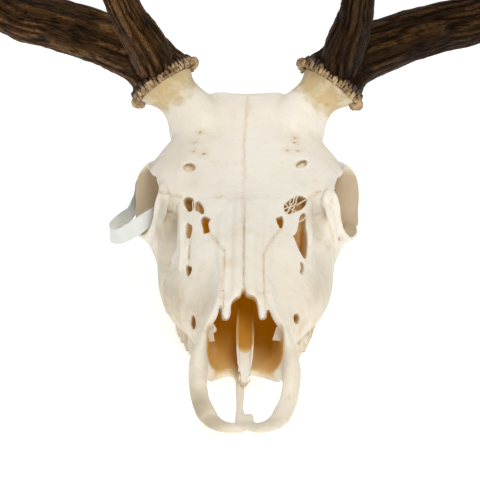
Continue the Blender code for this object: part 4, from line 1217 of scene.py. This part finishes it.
def antlerLook():
    look = Look("weatheredAntler", Specular_IOR_Level=0.1, Specular_Tint=(1.0, 0.66, 0.38, 1.0))
    tone = antlerTones
    along = look.vector("grain")
    streaks = look.noise(along, 1.3, 5, 0.62)
    broad = look.noise(along, 0.16, 3)
    fine = look.noise(along, 3.4, 4, 0.6)
    furrow, tip = look.value("furrow"), look.value("tip")
    colour = look.mix(look.ramp(streaks, 0.42, 0.6), tone["dark"], tone["brown"])
    colour = look.mix(look.ramp(broad, 0.45, 0.75) * 0.5, colour, tone["brown"])
    # Ridge tops paler and grooves near black: partly the antler's own colour, partly painted highlight on
    # the ridges and painted shade in the grooves.
    crests = look.ramp(furrow, 0.62, 0.95) * look.ramp(fine, 0.42, 0.6)
    colour = look.mix(crests * 0.85, colour, tone["crest"])
    colour = look.mix(look.ramp(furrow, 0.45, 0.12) * 0.9, colour, tone["furrow"])
    colour = look.mix(look.ramp(fine, 0.6, 0.78) * 0.35, colour, tone["speck"])
    colour = look.mix(look.ramp(tip + (streaks - 0.5) * 0.5, 0.3, 0.95), colour, tone["tip"])
    # Painted shade: the whole left antler is darker.
    colour = look.mix(look.value("antlerShade"), colour, tone["shade"], 'MULTIPLY')
    look.feed("Base Color", colour)
    look.feed("Roughness", look.ramp(streaks, 0.3, 0.7, 0.6, 0.4))
    look.bump(streaks * 1.2 + fine * 0.8, 0.8, 0.0012)
    return look.material


burrTones = {"tan": (0.2, 0.105, 0.038), "pale": (0.52, 0.37, 0.19), "foot": (0.035, 0.016, 0.007),
             "rise": (0.035, 0.017, 0.008)}


def burrLook():
    look = Look("burrPearls")
    tone = burrTones
    spot = look.spot()
    knob, rise = look.value("knob"), look.value("rise")
    patch = look.noise(spot, 130, 4, 0.6)
    tan = look.mix(look.ramp(patch, 0.35, 0.65), tone["tan"], tone["pale"])
    # Painted shade: near black between the pearls, where they meet the core.
    dark = look.ramp(knob + (patch - 0.5) * 1.5, 0.9, 0.3)
    colour = look.mix(dark, tan, tone["foot"])
    colour = look.mix(look.ramp(rise + (patch - 0.5) * 1.2, 0.3, 0.75), colour, tone["rise"])
    look.feed("Base Color", colour)
    look.feed("Roughness", look.ramp(patch, 0.3, 0.7, 0.45, 0.65))
    look.bump(look.noise(spot, 600, 4, 0.6), 0.4, 0.0006)
    return look.material


toothTones = {"enamel": (0.72, 0.64, 0.5), "stained": (0.52, 0.4, 0.24), "streak": (0.3, 0.2, 0.1),
              "worn": (0.16, 0.09, 0.04)}


def toothLook():
    look = Look("toothEnamel", Coat_Weight=0.15, Coat_Roughness=0.2)
    tone = toothTones
    spot = look.spot()
    patch = look.noise(spot, 110, 4, 0.6)
    upright = look.noise(look.spot((1, 1, 0.2)), 500, 3)
    worn = look.value("worn")
    colour = look.mix(look.ramp(patch, 0.35, 0.7), tone["enamel"], tone["stained"])
    colour = look.mix(look.ramp(upright, 0.55, 0.8) * 0.5, colour, tone["streak"])
    colour = look.mix(worn, colour, tone["worn"])
    look.feed("Base Color", colour)
    look.feed("Roughness", look.ramp(patch, 0.3, 0.7, 0.3, 0.5))
    look.bump(upright, 0.3, 0.0005)
    return look.material


strapTones = {"white": (0.76, 0.79, 0.77), "grey": (0.68, 0.7, 0.66), "shade": (0.4, 0.4, 0.38),
              "dirt": (0.26, 0.22, 0.18)}


def strapLook():
    look = Look("whitePlastic", Subsurface_Weight=0.1, Subsurface_Scale=0.002)
    tone = strapTones
    spot = look.spot()
    dirt = look.noise(spot, 260, 5, 0.7)
    grime = look.value("grime")
    colour = look.mix(look.ramp(look.noise(spot, 40, 3), 0.3, 0.7), tone["white"], tone["grey"])
    colour = look.mix(look.value("shade") * 0.8, colour, tone["shade"])
    colour = look.mix(look.ramp(dirt + grime * 0.45, 0.62, 0.86), colour, tone["dirt"])
    look.feed("Base Color", colour)
    look.feed("Roughness", look.ramp(dirt, 0.3, 0.8, 0.32, 0.5))
    look.bump(dirt, 0.12, 0.0004)
    return look.material


def floorLook():
    look = Look("paleFloor", Roughness=0.9)
    shade = look.noise(look.spot(), 3, 2)
    look.feed("Base Color", look.mix(shade, (0.93, 0.93, 0.93), (0.95, 0.95, 0.95)))
    look.shader.inputs["Emission Color"].default_value = (1, 1, 1, 1)
    look.shader.inputs["Emission Strength"].default_value = studio["floorGlow"]
    return look.material


def dress(obj, material, nodes=()):
    obj.data.materials.clear()
    obj.data.materials.append(material)
    if not obj.data.has_custom_normals:
        obj.data.shade_smooth()
        obj.data.set_sharp_from_angle(angle=math.radians(60))
    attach(obj, "root")
    if nodes:
        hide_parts(*nodes)


# Antlers: closed tubes joined and smoothed at the forks, then furrowed along their length. The points are
# the left antler's, and the right one mirrors them, except where the brow tine has points of its own.
antler = {"voxel": 1.05, "furrowDepth": 2.0, "pearlDepth": 0.8, "up": (0, 1, 0.2), "reach": 45,
          "girth": 15.0, "apart": 40, "alongScale": 0.09, "blend": 0.9}
antlerLines = {
    "beam": {"path": [(66, 318, 168), (82, 322, 187), (120, 337, 200), (153, 352, 207), (190, 373, 213),
                      (240, 400, 236), (285, 414, 280), (318, 412, 335), (335, 398, 395), (334, 382, 452),
                      (322, 370, 500)],
             "radii": [23, 22, 20.5, 20, 19.5, 19, 18.5, 18, 17.5, 17, 16.5]},
    "brow": {"path": [(72, 312, 178), (74.5, 294, 201), (80.5, 276, 226), (82, 259, 247), (86, 238, 282),
                      (92, 222, 324), (94, 216, 366), (92, 220, 404)],
             "rightPath": [(-71, 312, 178), (-76.5, 294, 199), (-89, 276, 225), (-97, 259, 247),
                           (-106, 238, 280), (-113, 222, 322), (-115, 216, 364), (-113, 220, 402)],
             "radii": [15, 15.6, 13, 11.6, 10.6, 9.2, 7.2, 2.4]},
    "trez": {"path": [(318, 412, 330), (322, 386, 338), (325, 352, 356), (324, 322, 388), (320, 304, 428),
                      (316, 300, 462)],
             "radii": [12, 13, 11.5, 10, 7.5, 2.0]},
    "front": {"path": [(326, 374, 488), (325, 352, 512), (320, 326, 546), (312, 308, 588), (306, 302, 624)],
              "radii": [12, 12.5, 11, 8.5, 2.0]},
    "back": {"path": [(324, 372, 486), (338, 384, 516), (352, 394, 552), (358, 398, 592), (356, 398, 628)],
             "radii": [12, 12.5, 11, 8.5, 2.0]},
    "top": {"path": [(322, 370, 500), (312, 364, 530), (294, 358, 570), (272, 352, 616), (258, 350, 660)],
            "radii": [15, 14, 11.5, 8.5, 2.0]},
}
antlerValues = ("skin", "grain", "furrow", "tip", "antlerShade")


def antlerPath(line, sign):
    if sign < 0 and "rightPath" in line:
        return line["rightPath"]
    return flipAll(line["path"], sign)


def antlerShape(side, sign):
    tubes = [tube(name, antlerPath(line, sign), line["radii"], count=32, up=antler["up"], blunt=0.5)
             for name, line in antlerLines.items()]
    middle, out = burrFrame(sign)
    flare = [middle - out * 4, middle + out * 4, middle + out * 12, middle + out * 20]
    tubes.append(tube("flare", flare, [25.5, 25.2, 22.5, 18], [25, 24.5, 22, 18], count=40, up=antler["up"],
                      blunt=0))
    whole = remesh(joinAll("antler_" + side, tubes), antler["voxel"], 8)
    return cut(whole, [room("seat", [(middle - out * 4.7, out)])])


def besideLine(points, line, sign):
    # For the points near one line: which they are, where they stand in a straight space, how high over the
    # tube they are and how far along it.
    path = catmull(antlerPath(line, sign), 12)
    where, _, side, top = [np.array(column) for column in zip(*pathFrames(path, Vector(antler["up"])))]
    radius = np.array(alongCurve(line["radii"], len(path)))
    length = np.concatenate([[0], np.cumsum(np.linalg.norm(np.diff(where, axis=0), axis=1))])
    low, high = where.min(0) - antler["reach"], where.max(0) + antler["reach"]
    near = np.nonzero(np.all((points > low) & (points < high), axis=1))[0]
    gaps = np.linalg.norm(points[near][:, None, :] - where[None], axis=2)
    best = gaps.argmin(1)
    offset = points[near] - where[best]
    surface = gaps[np.arange(len(near)), best] - radius[best]
    ways = (side[best], top[best], np.cross(top[best], side[best]))
    a, b, ahead = [np.einsum("ij,ij->i", offset, way) for way in ways]
    scale = antler["girth"] / np.maximum(np.hypot(a, b), 1.0)
    own = np.stack([a * scale, b * scale, (length[best] + ahead) * antler["alongScale"]], axis=1)
    return near, own, surface, length[best] / length[-1]


def straighten(points, sign):
    # Each point in the antler's own straight space, blended where lines meet, and how near it is to a tip.
    total = np.zeros((len(points), 3))
    weightSum = np.zeros(len(points))
    nearest = np.full(len(points), 1e9)
    tipness = np.zeros(len(points))
    for i, (name, line) in enumerate(antlerLines.items()):
        near, own, surface, share = besideLine(points, line, sign)
        own[:, 0] += antler["apart"] * i
        weight = np.exp(-np.clip(surface + 6, 0, 60) / antler["blend"])
        total[near] += own * weight[:, None]
        weightSum[near] += weight
        closer = surface < nearest[near]
        nearest[near[closer]] = surface[closer]
        if name != "beam":
            tipness[near[closer]] = rampUp(0.72, 1.0, share[closer])
    return total / np.maximum(weightSum, 1e-9)[:, None], tipness


def furrows(straight, points, sign, tipness):
    # Height of the surface: sharp grooves, rounded ridges and pearls near the burr.
    wide = np.abs(lumps(straight, 3.7, 11))
    narrow = np.abs(lumps(straight, 2.0, 12))
    pearl = lumps(straight * np.array((1, 1, 5.0)), 3.0, 13)
    lower = 1 - rampUp(60, 260, toBurr(points, sign))
    value = 0.62 * np.clip(wide * 2.4, 0, 1) + 0.38 * np.clip(narrow * 2.4, 0, 1)
    height = antler["furrowDepth"] * (value - 0.6) * (1 - 0.85 * tipness)
    height += antler["pearlDepth"] * np.clip(pearl, 0, 1) * (0.25 + 0.75 * lower) * (1 - tipness)
    return height, value


def antlerRooms(sign):
    # Planes that part the antler, in the order of the cuts. The upper beam is what is left.
    middle, out = burrFrame(1)
    low = middle + out * 14
    crownFloor = ((322, 371, 503), (0.2, 0.2, -0.95))
    rooms = {
        "crown_front": [crownFloor, ((0, 360, 512), (0, 0.938, 0.346))],
        "crown_back": [crownFloor, ((326, 376, 0), (-0.83, -0.55, 0))],
        "crown_top": [crownFloor],
        "brow_tine": [(low, -out), ((74, 314, 186), (0.68, 0.93, -0.43)), ((160, 0, 0), (1, 0, 0))],
        "trez_tine": [((320, 396, 336), (0.1, 0.77, 0.49)), ((0, 394, 0), (0, 1, 0)),
                      ((0, 0, 300), (0, 0, -1))],
        "base": [(low, out)],
        "beam_lower": [((331, 404, 362), (0.25, -0.25, 1))],
    }
    return [(name, [(flip(p, sign), flip(n, sign)) for p, n in planes]) for name, planes in rooms.items()]


def makeAntler(side, sign, material):
    whole = antlerShape(side, sign)
    points, normals = pointsOf(whole.data), normalsOf(whole.data)
    straight, tipness = straighten(points, sign)
    height, value = furrows(straight, points, sign, tipness)
    movePoints(whole.data, points + normals * height[:, None])
    keepShading(whole.data)
    storeVector(whole.data, "grain", straight)
    storeValue(whole.data, "furrow", value)
    storeValue(whole.data, "tip", tipness)
    # Painted shade: the left antler is darkened all over, the right one hardly.
    storeValue(whole.data, "antlerShade", np.full(len(points), 1.0 if sign > 0 else 0.1))
    largestOnly(whole)
    naming = "antler_" + side + "_{}_horn"
    pieces = partPieces(whole, antlerRooms(sign), naming, "beam_upper", antlerValues)
    for name, piece in pieces.items():
        dress(piece, material, ["antler_" + side + "_" + name])
    print("antler", side, sum(len(p.data.polygons) for p in pieces.values()), "faces")


# Geometry Nodes: pearls set round the burr. Rows: count, radius, grain, stretch, lift.
burrRows = [(58, 26.9, 1.35, 2.2, -2.4), (50, 26.6, 1.3, 2.6, 1.4)]
burrKnobs = {
    "outerKnob": {"reach": 27.0, "ahead": -1.0, "drop": 3.4, "size": 4.9},
    "outerKnobLow": {"reach": 25.0, "ahead": -3.0, "drop": 5.6, "size": 3.6},
    "innerKnob": {"reach": -27.0, "ahead": -1.0, "drop": 1.6, "size": 4.7},
    "innerKnobLow": {"reach": -25.6, "ahead": -3.0, "drop": 3.8, "size": 3.3},
}


def pearlTree(material):
    # Pearls stand side by side round a ring, each a grain stretched along the antler.
    tree = nodeTree("pearlRing", [("Count", 'NodeSocketInt', 40), ("Radius", 'NodeSocketFloat', 0.03),
                                  ("Pearl", 'NodeSocketFloat', 0.003), ("Stretch", 'NodeSocketFloat', 1.6),
                                  ("Seed", 'NodeSocketInt', 1)])
    group = tree.nodes.new('NodeGroupInput').outputs
    ring = geoNode(tree, 'GeometryNodeCurvePrimitiveCircle', {},
                   {"Radius": group["Radius"], "Resolution": 96})
    spread = geoNode(tree, 'GeometryNodeCurveToPoints', {"mode": 'COUNT'},
                     {"Curve": ring.outputs["Curve"], "Count": group["Count"]})
    shift = geoNode(tree, 'FunctionNodeRandomValue', {"data_type": 'FLOAT_VECTOR'},
                    {0: (-0.0007, -0.0007, -0.0009), 1: (0.0007, 0.0007, 0.0009), "Seed": group["Seed"]})
    moved = geoNode(tree, 'GeometryNodeSetPosition', {},
                    {"Geometry": spread.outputs["Points"], "Offset": shift.outputs[0]})
    grain = geoNode(tree, 'GeometryNodeMeshIcoSphere', {}, {"Radius": group["Pearl"], "Subdivisions": 4})
    size = geoNode(tree, 'FunctionNodeRandomValue', {"data_type": 'FLOAT'},
                   {2: 0.8, 3: 1.25, "Seed": group["Seed"]})
    wide = size.outputs[1]
    tall = geoNode(tree, 'ShaderNodeMath', {"operation": 'MULTIPLY'}, {0: wide, 1: group["Stretch"]})
    scale = geoNode(tree, 'ShaderNodeCombineXYZ', {}, {0: wide, 1: wide, 2: tall.outputs[0]})
    put = geoNode(tree, 'GeometryNodeInstanceOnPoints', {},
                  {"Points": moved.outputs["Geometry"], "Instance": grain.outputs["Mesh"],
                   "Scale": scale.outputs[0]})
    return coatTree(tree, put.outputs["Instances"], material)


def makeBurr(side, sign, material, tree):
    middle, out = burrFrame(sign)
    turn = out.to_track_quat('Z', 'Y').to_matrix()
    parts = []
    for row, (count, radius, pearl, stretch, lift) in enumerate(burrRows):
        pearls = addObject("pearls", bpy.data.meshes.new("pearls"))
        runTree(pearls, tree, {"Count": count, "Radius": radius * mm, "Pearl": pearl * mm,
                               "Stretch": stretch, "Seed": 7 + row + 3 * sign})
        pearls.data.transform(Matrix.Translation(place(middle) + out * lift * mm) @ turn.to_4x4())
        parts.append(pearls)
    outward = (Vector((sign, 0, 0)) - out * out.x * sign).normalized()
    for name, knob in burrKnobs.items():
        reach = outward * knob["reach"] + Vector((0, knob["ahead"], 0)) - out * knob["drop"]
        parts.append(ball(name, middle + reach, (knob["size"],) * 3))
    core = [middle - out * 4.6, middle - out * 1.5, middle + out * 2.5, middle + out * 6]
    parts.append(tube("core", core, [25, 26.3, 25.4, 23], count=96, up=(0, 1, 0), blunt=0))
    ring = joinAll("burr_" + side, parts)
    points, normals = pointsOf(ring.data), normalsOf(ring.data)
    points += normals * (0.35 * lumps(points, 1.7, 21) + 0.2 * lumps(points, 0.8, 22))[:, None]
    movePoints(ring.data, points)
    local = (points - np.array(middle)) @ np.array(turn)
    edge = rampUp(26.2, 28.6, np.hypot(local[:, 0], local[:, 1]))
    storeValue(ring.data, "knob", np.maximum(edge, rampUp(-2.6, -3.8, local[:, 2])))
    storeValue(ring.data, "rise", rampUp(-2.5, 5.0, local[:, 2]))
    dress(ring, material, ["antler_" + side + "_base"])


# Teeth: rounded columns with ribs, worn flat, with dark crescents.
teeth = {"lengths": (13.0, 14.0, 13.0, 18.0, 20.5, 21.5), "widths": (11.0, 12.5, 13.5, 18.0, 19.5, 18.5),
         "start": 121.0, "gum": 24.0, "voxel": 0.62}


def rowMiddle(y, width):
    t = (y - teeth["start"]) / sum(teeth["lengths"])
    return 31.5 + 34.0 * t - 11.5 * t * t - width / 2


def toothColumn(middle, length, width, low, sign, turn):
    gum = teeth["gum"]
    rings = []
    for z, swell in ((low, 0.86), (low + 2, 0.95), (low + 6, 1.0), (gum - 8, 1.02), (gum, 0.82)):
        ring = []
        for k in range(24):
            angle = 2 * math.pi * k / 24
            rib = 1.0 + 0.10 * math.cos(3 * (angle - turn)) * (1 if math.cos(angle) * sign > 0 else 0.3)
            x = math.cos(angle) * width / 2 * rib * swell
            ring.append(Vector((middle[0] + x, middle[1] + math.sin(angle) * length / 2 * swell, z)))
        rings.append(ring)
    return loft("column", rings)


def crescent(middle, length, width, low, sign):
    points = []
    for k in range(7):
        angle = math.pi * (k / 6 - 0.5)
        points.append((middle[0] + sign * (math.cos(angle) * width * 0.16 - width * 0.02),
                       middle[1] + math.sin(angle) * length * 0.3, low + 0.2))
    return tube("crescent", points, [0.6, 0.9, 1.0, 1.0, 1.0, 0.9, 0.6], [1.6] * 7, count=10, perSpan=3)


def makeTeeth(side, sign, material):
    rng = random.Random(11 if sign > 0 else 23)
    columns, marks = [], []
    y = teeth["start"]
    for i, (length, width) in enumerate(zip(teeth["lengths"], teeth["widths"])):
        # A premolar is one column and stands a little short, a molar is two that touch.
        premolar = i < 3
        low = rng.uniform(0.6, 1.8) if premolar else 0.0
        count, overlap = (1, -0.5) if premolar else (2, 0.9)
        for k in range(count):
            share = length / count
            at = y + share * (k + 0.5)
            middle = (sign * (rowMiddle(at, width) + rng.uniform(-0.4, 0.4)), at)
            columns.append(toothColumn(middle, share + overlap, width, low, sign, rng.uniform(0, 2)))
            marks.append(crescent(middle, share, width, low, sign))
        y += length
    row = remesh(joinAll("teeth_" + side, columns), teeth["voxel"], 2)
    cut(row, marks)
    remesh(row, teeth["voxel"], 1)
    cut(row, [room("floorCut", [((0, 0, 0.02), (0, 0, 1))])])
    points, normals = pointsOf(row.data), normalsOf(row.data)
    chew = rampUp(2.2, 0.6, points[:, 2]) * rampUp(0.85, 0.2, -normals[:, 2])
    storeValue(row.data, "worn", np.clip(chew, 0, 1) * rampUp(3.0, 1.0, points[:, 2]))
    dress(row, material)


def noSeams(mesh):
    storeValue(mesh, "seam", np.full(len(mesh.vertices), 5.0))
    storeValue(mesh, "faint", np.ones(len(mesh.vertices)))


# The vomer, a shallow trough that stands on the floor of the nose: y, half width, bottom and top.
vomer = {"voxel": 0.6, "stations": [(46, 3.8, 20.3, 23.4), (60, 4.8, 24.6, 29), (70, 5.5, 24.6, 34),
                                    (84, 6.2, 25, 40), (100, 6.2, 26, 45), (125, 5.4, 27.6, 50),
                                    (150, 4.4, 29.6, 52)]}


def vomerSection(y, half, low, high):
    dip = min(3.6, (high - low) * 0.4)
    outline = [(-half, high), (-half * 0.92, low + 5), (-half * 0.5, low + 1.2), (-1.6, low), (1.6, low),
               (half * 0.5, low + 1.2), (half * 0.92, low + 5), (half, high), (half - 1.1, high + 0.2),
               (half * 0.6, high - dip * 0.7), (0, high - dip), (-half * 0.6, high - dip * 0.7),
               (1.1 - half, high + 0.2)]
    return [Vector((x, y, z)) for x, z in outline]


def makeVomer(material):
    trough = smoothLoft("vomer_bone", [vomerSection(*station) for station in vomer["stations"]], 5)
    remesh(trough, vomer["voxel"], 2)
    points = pointsOf(trough.data)
    inside = rampUp(4.6, 3.4, np.abs(points[:, 0]))
    # A made-up depth gives the trough's inside painted shade, and the glow gives it painted light through
    # the walls of the nose.
    storeValue(trough.data, "deep", (7 + 8 * inside) * rampUp(72, 84, points[:, 1]))
    storeValue(trough.data, "glow", rampUp(74, 82, points[:, 1]) * (0.3 + 0.4 * inside))
    storeValue(trough.data, "stain", 0.9 * rampUp(50, 46, points[:, 1]))
    noSeams(trough.data)
    dress(trough, material, ["vomer"])


# The strap: a flat band with round edges, lofted along its loop.
strap = {"width": 12.5, "thickness": 1.4, "corner": 0.35,
         "loop": [(-63, 240, 85.5), (-69, 237, 83), (-75, 235.5, 79.5), (-82, 237, 73.5), (-90, 240, 67.5),
                  (-97, 243.5, 63.5), (-102.5, 250, 62), (-105, 261, 62), (-103.5, 273, 62.5),
                  (-98, 284, 65), (-91.5, 290, 68.5), (-87.5, 294, 77), (-84, 298.5, 88), (-78, 300, 95)]}


def makeStrap(material):
    half, corner = strap["width"] / 2, strap["corner"]
    rings = []
    for point, _, side, top in pathFrames(catmull(strap["loop"], 10), Vector((0, -0.25, 1))):
        wide, thin = top * half, side * (strap["thickness"] / 2)
        rings.append([point + wide * sw * (1 - dw / half) + thin * st * (1 - dt)
                      for sw, st in ((1, 1), (-1, 1), (-1, -1), (1, -1))
                      for dw, dt in ((0, corner), (corner * 0.3, corner * 0.3), (corner, 0))])
    band = loft("tag_strap_band", rings)
    points = pointsOf(band.data)
    end = np.linalg.norm(points - np.array(strap["loop"][0]), axis=1)
    storeValue(band.data, "grime", rampUp(16, 2, end))
    storeValue(band.data, "shade", rampUp(266, 284, points[:, 1]))
    dress(band, material, ["tag_strap"])


# Geometry Nodes: thin struts of bone that cross the openings from wall to wall, drawn by their ends.
struts = {
    "radius": 0.55, "under": 2.6, "reach": 1.8, "wander": 4.8,
    "pixels": [((291.6, 196.6), (287.6, 214.2)), ((297, 194.4), (292.4, 213.4)),
               ((285.6, 201.4), (298.4, 211.2)), ((283.4, 207.4), (306.4, 198.4)),
               ((286, 213.8), (295.6, 195)), ((294.4, 236.6), (301.4, 257.4)), ((299.2, 221), (307, 216)),
               ((188.9, 239.6), (186.8, 259.4)), ((192.4, 197.4), (190.6, 211.6))],
}


def strutTree(material):
    tree = nodeTree("struts", [("Lines", 'NodeSocketGeometry', None), ("Radius", 'NodeSocketFloat', 0.0005),
                               ("Wander", 'NodeSocketFloat', 0.001)])
    group = tree.nodes.new('NodeGroupInput').outputs
    curve = geoNode(tree, 'GeometryNodeMeshToCurve', {}, {"Mesh": group["Lines"]})
    steps = geoNode(tree, 'GeometryNodeResampleCurve', {}, {"Curve": curve.outputs[0], "Count": 14})
    noise = geoNode(tree, 'ShaderNodeTexNoise', {}, {"Scale": 260.0, "Detail": 2.0})
    centred = geoNode(tree, 'ShaderNodeVectorMath', {"operation": 'SUBTRACT'},
                      {0: noise.outputs["Color"], 1: (0.5, 0.5, 0.5)})
    offset = geoNode(tree, 'ShaderNodeVectorMath', {"operation": 'SCALE'},
                     {0: centred.outputs[0], "Scale": group["Wander"]})
    bent = geoNode(tree, 'GeometryNodeSetPosition', {},
                   {"Geometry": steps.outputs[0], "Offset": offset.outputs[0]})
    ring = geoNode(tree, 'GeometryNodeCurvePrimitiveCircle', {},
                   {"Radius": group["Radius"], "Resolution": 10})
    solid = geoNode(tree, 'GeometryNodeCurveToMesh', {},
                    {"Curve": bent.outputs[0], "Profile Curve": ring.outputs[0], "Fill Caps": True})
    return coatTree(tree, solid.outputs[0], material)


def makeStruts(tree, material):
    bm = bmesh.new()
    for ends in struts["pixels"]:
        start, end = [found - normal * struts["under"] * mm for found, normal in skinHits(tree, ends)]
        along = (end - start).normalized() * struts["reach"] * mm
        bm.edges.new((bm.verts.new(start - along), bm.verts.new(end + along)))
    mesh = bpy.data.meshes.new("struts")
    bm.to_mesh(mesh)
    bm.free()
    web = addObject("nose_struts", mesh)
    runTree(web, strutTree(material), {"Radius": struts["radius"] * mm, "Wander": struts["wander"] * mm})
    # The struts take the openings' painted shade, as at a depth of 3.4 mm.
    storeValue(web.data, "deep", np.full(len(web.data.vertices), 3.4))
    noSeams(web.data)
    dress(web, material)


# Broken flakes that stand on the side walls of the nose, drawn over the photograph on one upright plane.
flakes = {
    "y": 80.0, "thickness": 1.0,
    "right": [(205.4, 323), (213.7, 323.4), (216.2, 328), (216.7, 330), (215.2, 332.6), (213.4, 332.4),
              (214.2, 338.2), (214.7, 341.2), (209.1, 341.7), (205, 342)],
    "left": [(284, 326), (276.2, 327), (274.6, 333), (272.3, 340.2), (276.9, 340.7), (280.5, 341.2),
             (284.4, 342)],
}


def makeFlakes(material):
    start = place(view["place"])
    for side, _ in sides:
        rays = [sightLine(px, py) for px, py in flakes[side]]
        planes = [place((0, flakes["y"] + shift * flakes["thickness"], 0)).y for shift in (-0.5, 0.5)]
        rings = [[drawn(start + ray * ((plane - start.y) / ray.y)) for ray in rays] for plane in planes]
        flake = loft("nose_flake_" + side, rings)
        # The flakes take the tan of the bone's age together with painted shade.
        storeValue(flake.data, "agedAndShaded", np.full(len(flake.data.vertices), 0.8))
        noSeams(flake.data)
        dress(flake, material)


# Floor, room light and lamps.
studio = {"floorSize": 9.0, "floorGlow": 0.5, "roomColour": (1, 0.99, 0.975, 1), "roomStrength": 0.42}


def makeStage():
    bm = bmesh.new()
    bmesh.ops.create_grid(bm, x_segments=1, y_segments=1, size=studio["floorSize"])
    floor = fromBmesh("floor", bm)
    if floor.data.polygons[0].normal.z < 0:
        floor.data.flip_normals()
    floor.data.materials.append(floorLook())
    world = bpy.data.worlds.new("studio")
    world.use_nodes = True
    background = world.node_tree.nodes["Background"]
    background.inputs["Color"].default_value = studio["roomColour"]
    background.inputs["Strength"].default_value = studio["roomStrength"]
    bpy.context.scene.world = world
    bpy.context.scene.view_settings.view_transform = 'Standard'


lamps = {
    "key": {"from": (520, -1150, 1500), "to": (0, 200, 120), "size": 0.9, "watts": 22.6},
    "fill": {"from": (-1300, -900, 900), "to": (0, 200, 120), "size": 1.2, "watts": 1.5},
    "back": {"from": (-800, 700, 1900), "to": (-60, 300, 240), "size": 1.2, "watts": 8},
}


def makeLamps():
    for name, lamp in lamps.items():
        data = bpy.data.lights.new(name, 'AREA')
        data.size = lamp["size"]
        data.energy = lamp["watts"]
        light = bpy.data.objects.new(name, data)
        bpy.context.scene.collection.objects.link(light)
        aim = (Vector(lamp["to"]) - Vector(lamp["from"])).normalized()
        turn = aim.to_track_quat('-Z', 'Y').to_matrix().to_4x4()
        light.matrix_world = Matrix.Translation(place(lamp["from"])) @ turn


def main():
    makeStage()
    makeLamps()
    boneMaterial, antlerMaterial = boneLook(), antlerLook()
    pearlMaterial, enamel, plastic = burrLook(), toothLook(), strapLook()
    cranium, skin = makeCranium()
    for name, piece in partPieces(cranium, boneRooms(), "{}_bone", "braincase", boneValues).items():
        dress(piece, boneMaterial, [name])
        print(name, len(piece.data.polygons), "faces")
    makeVomer(boneMaterial)
    makeStruts(skin, boneMaterial)
    makeFlakes(boneMaterial)
    ringTree = pearlTree(pearlMaterial)
    for side, sign in sides:
        makeTeeth(side, sign, enamel)
        makeAntler(side, sign, antlerMaterial)
        makeBurr(side, sign, pearlMaterial, ringTree)
    makeStrap(plastic)


main()
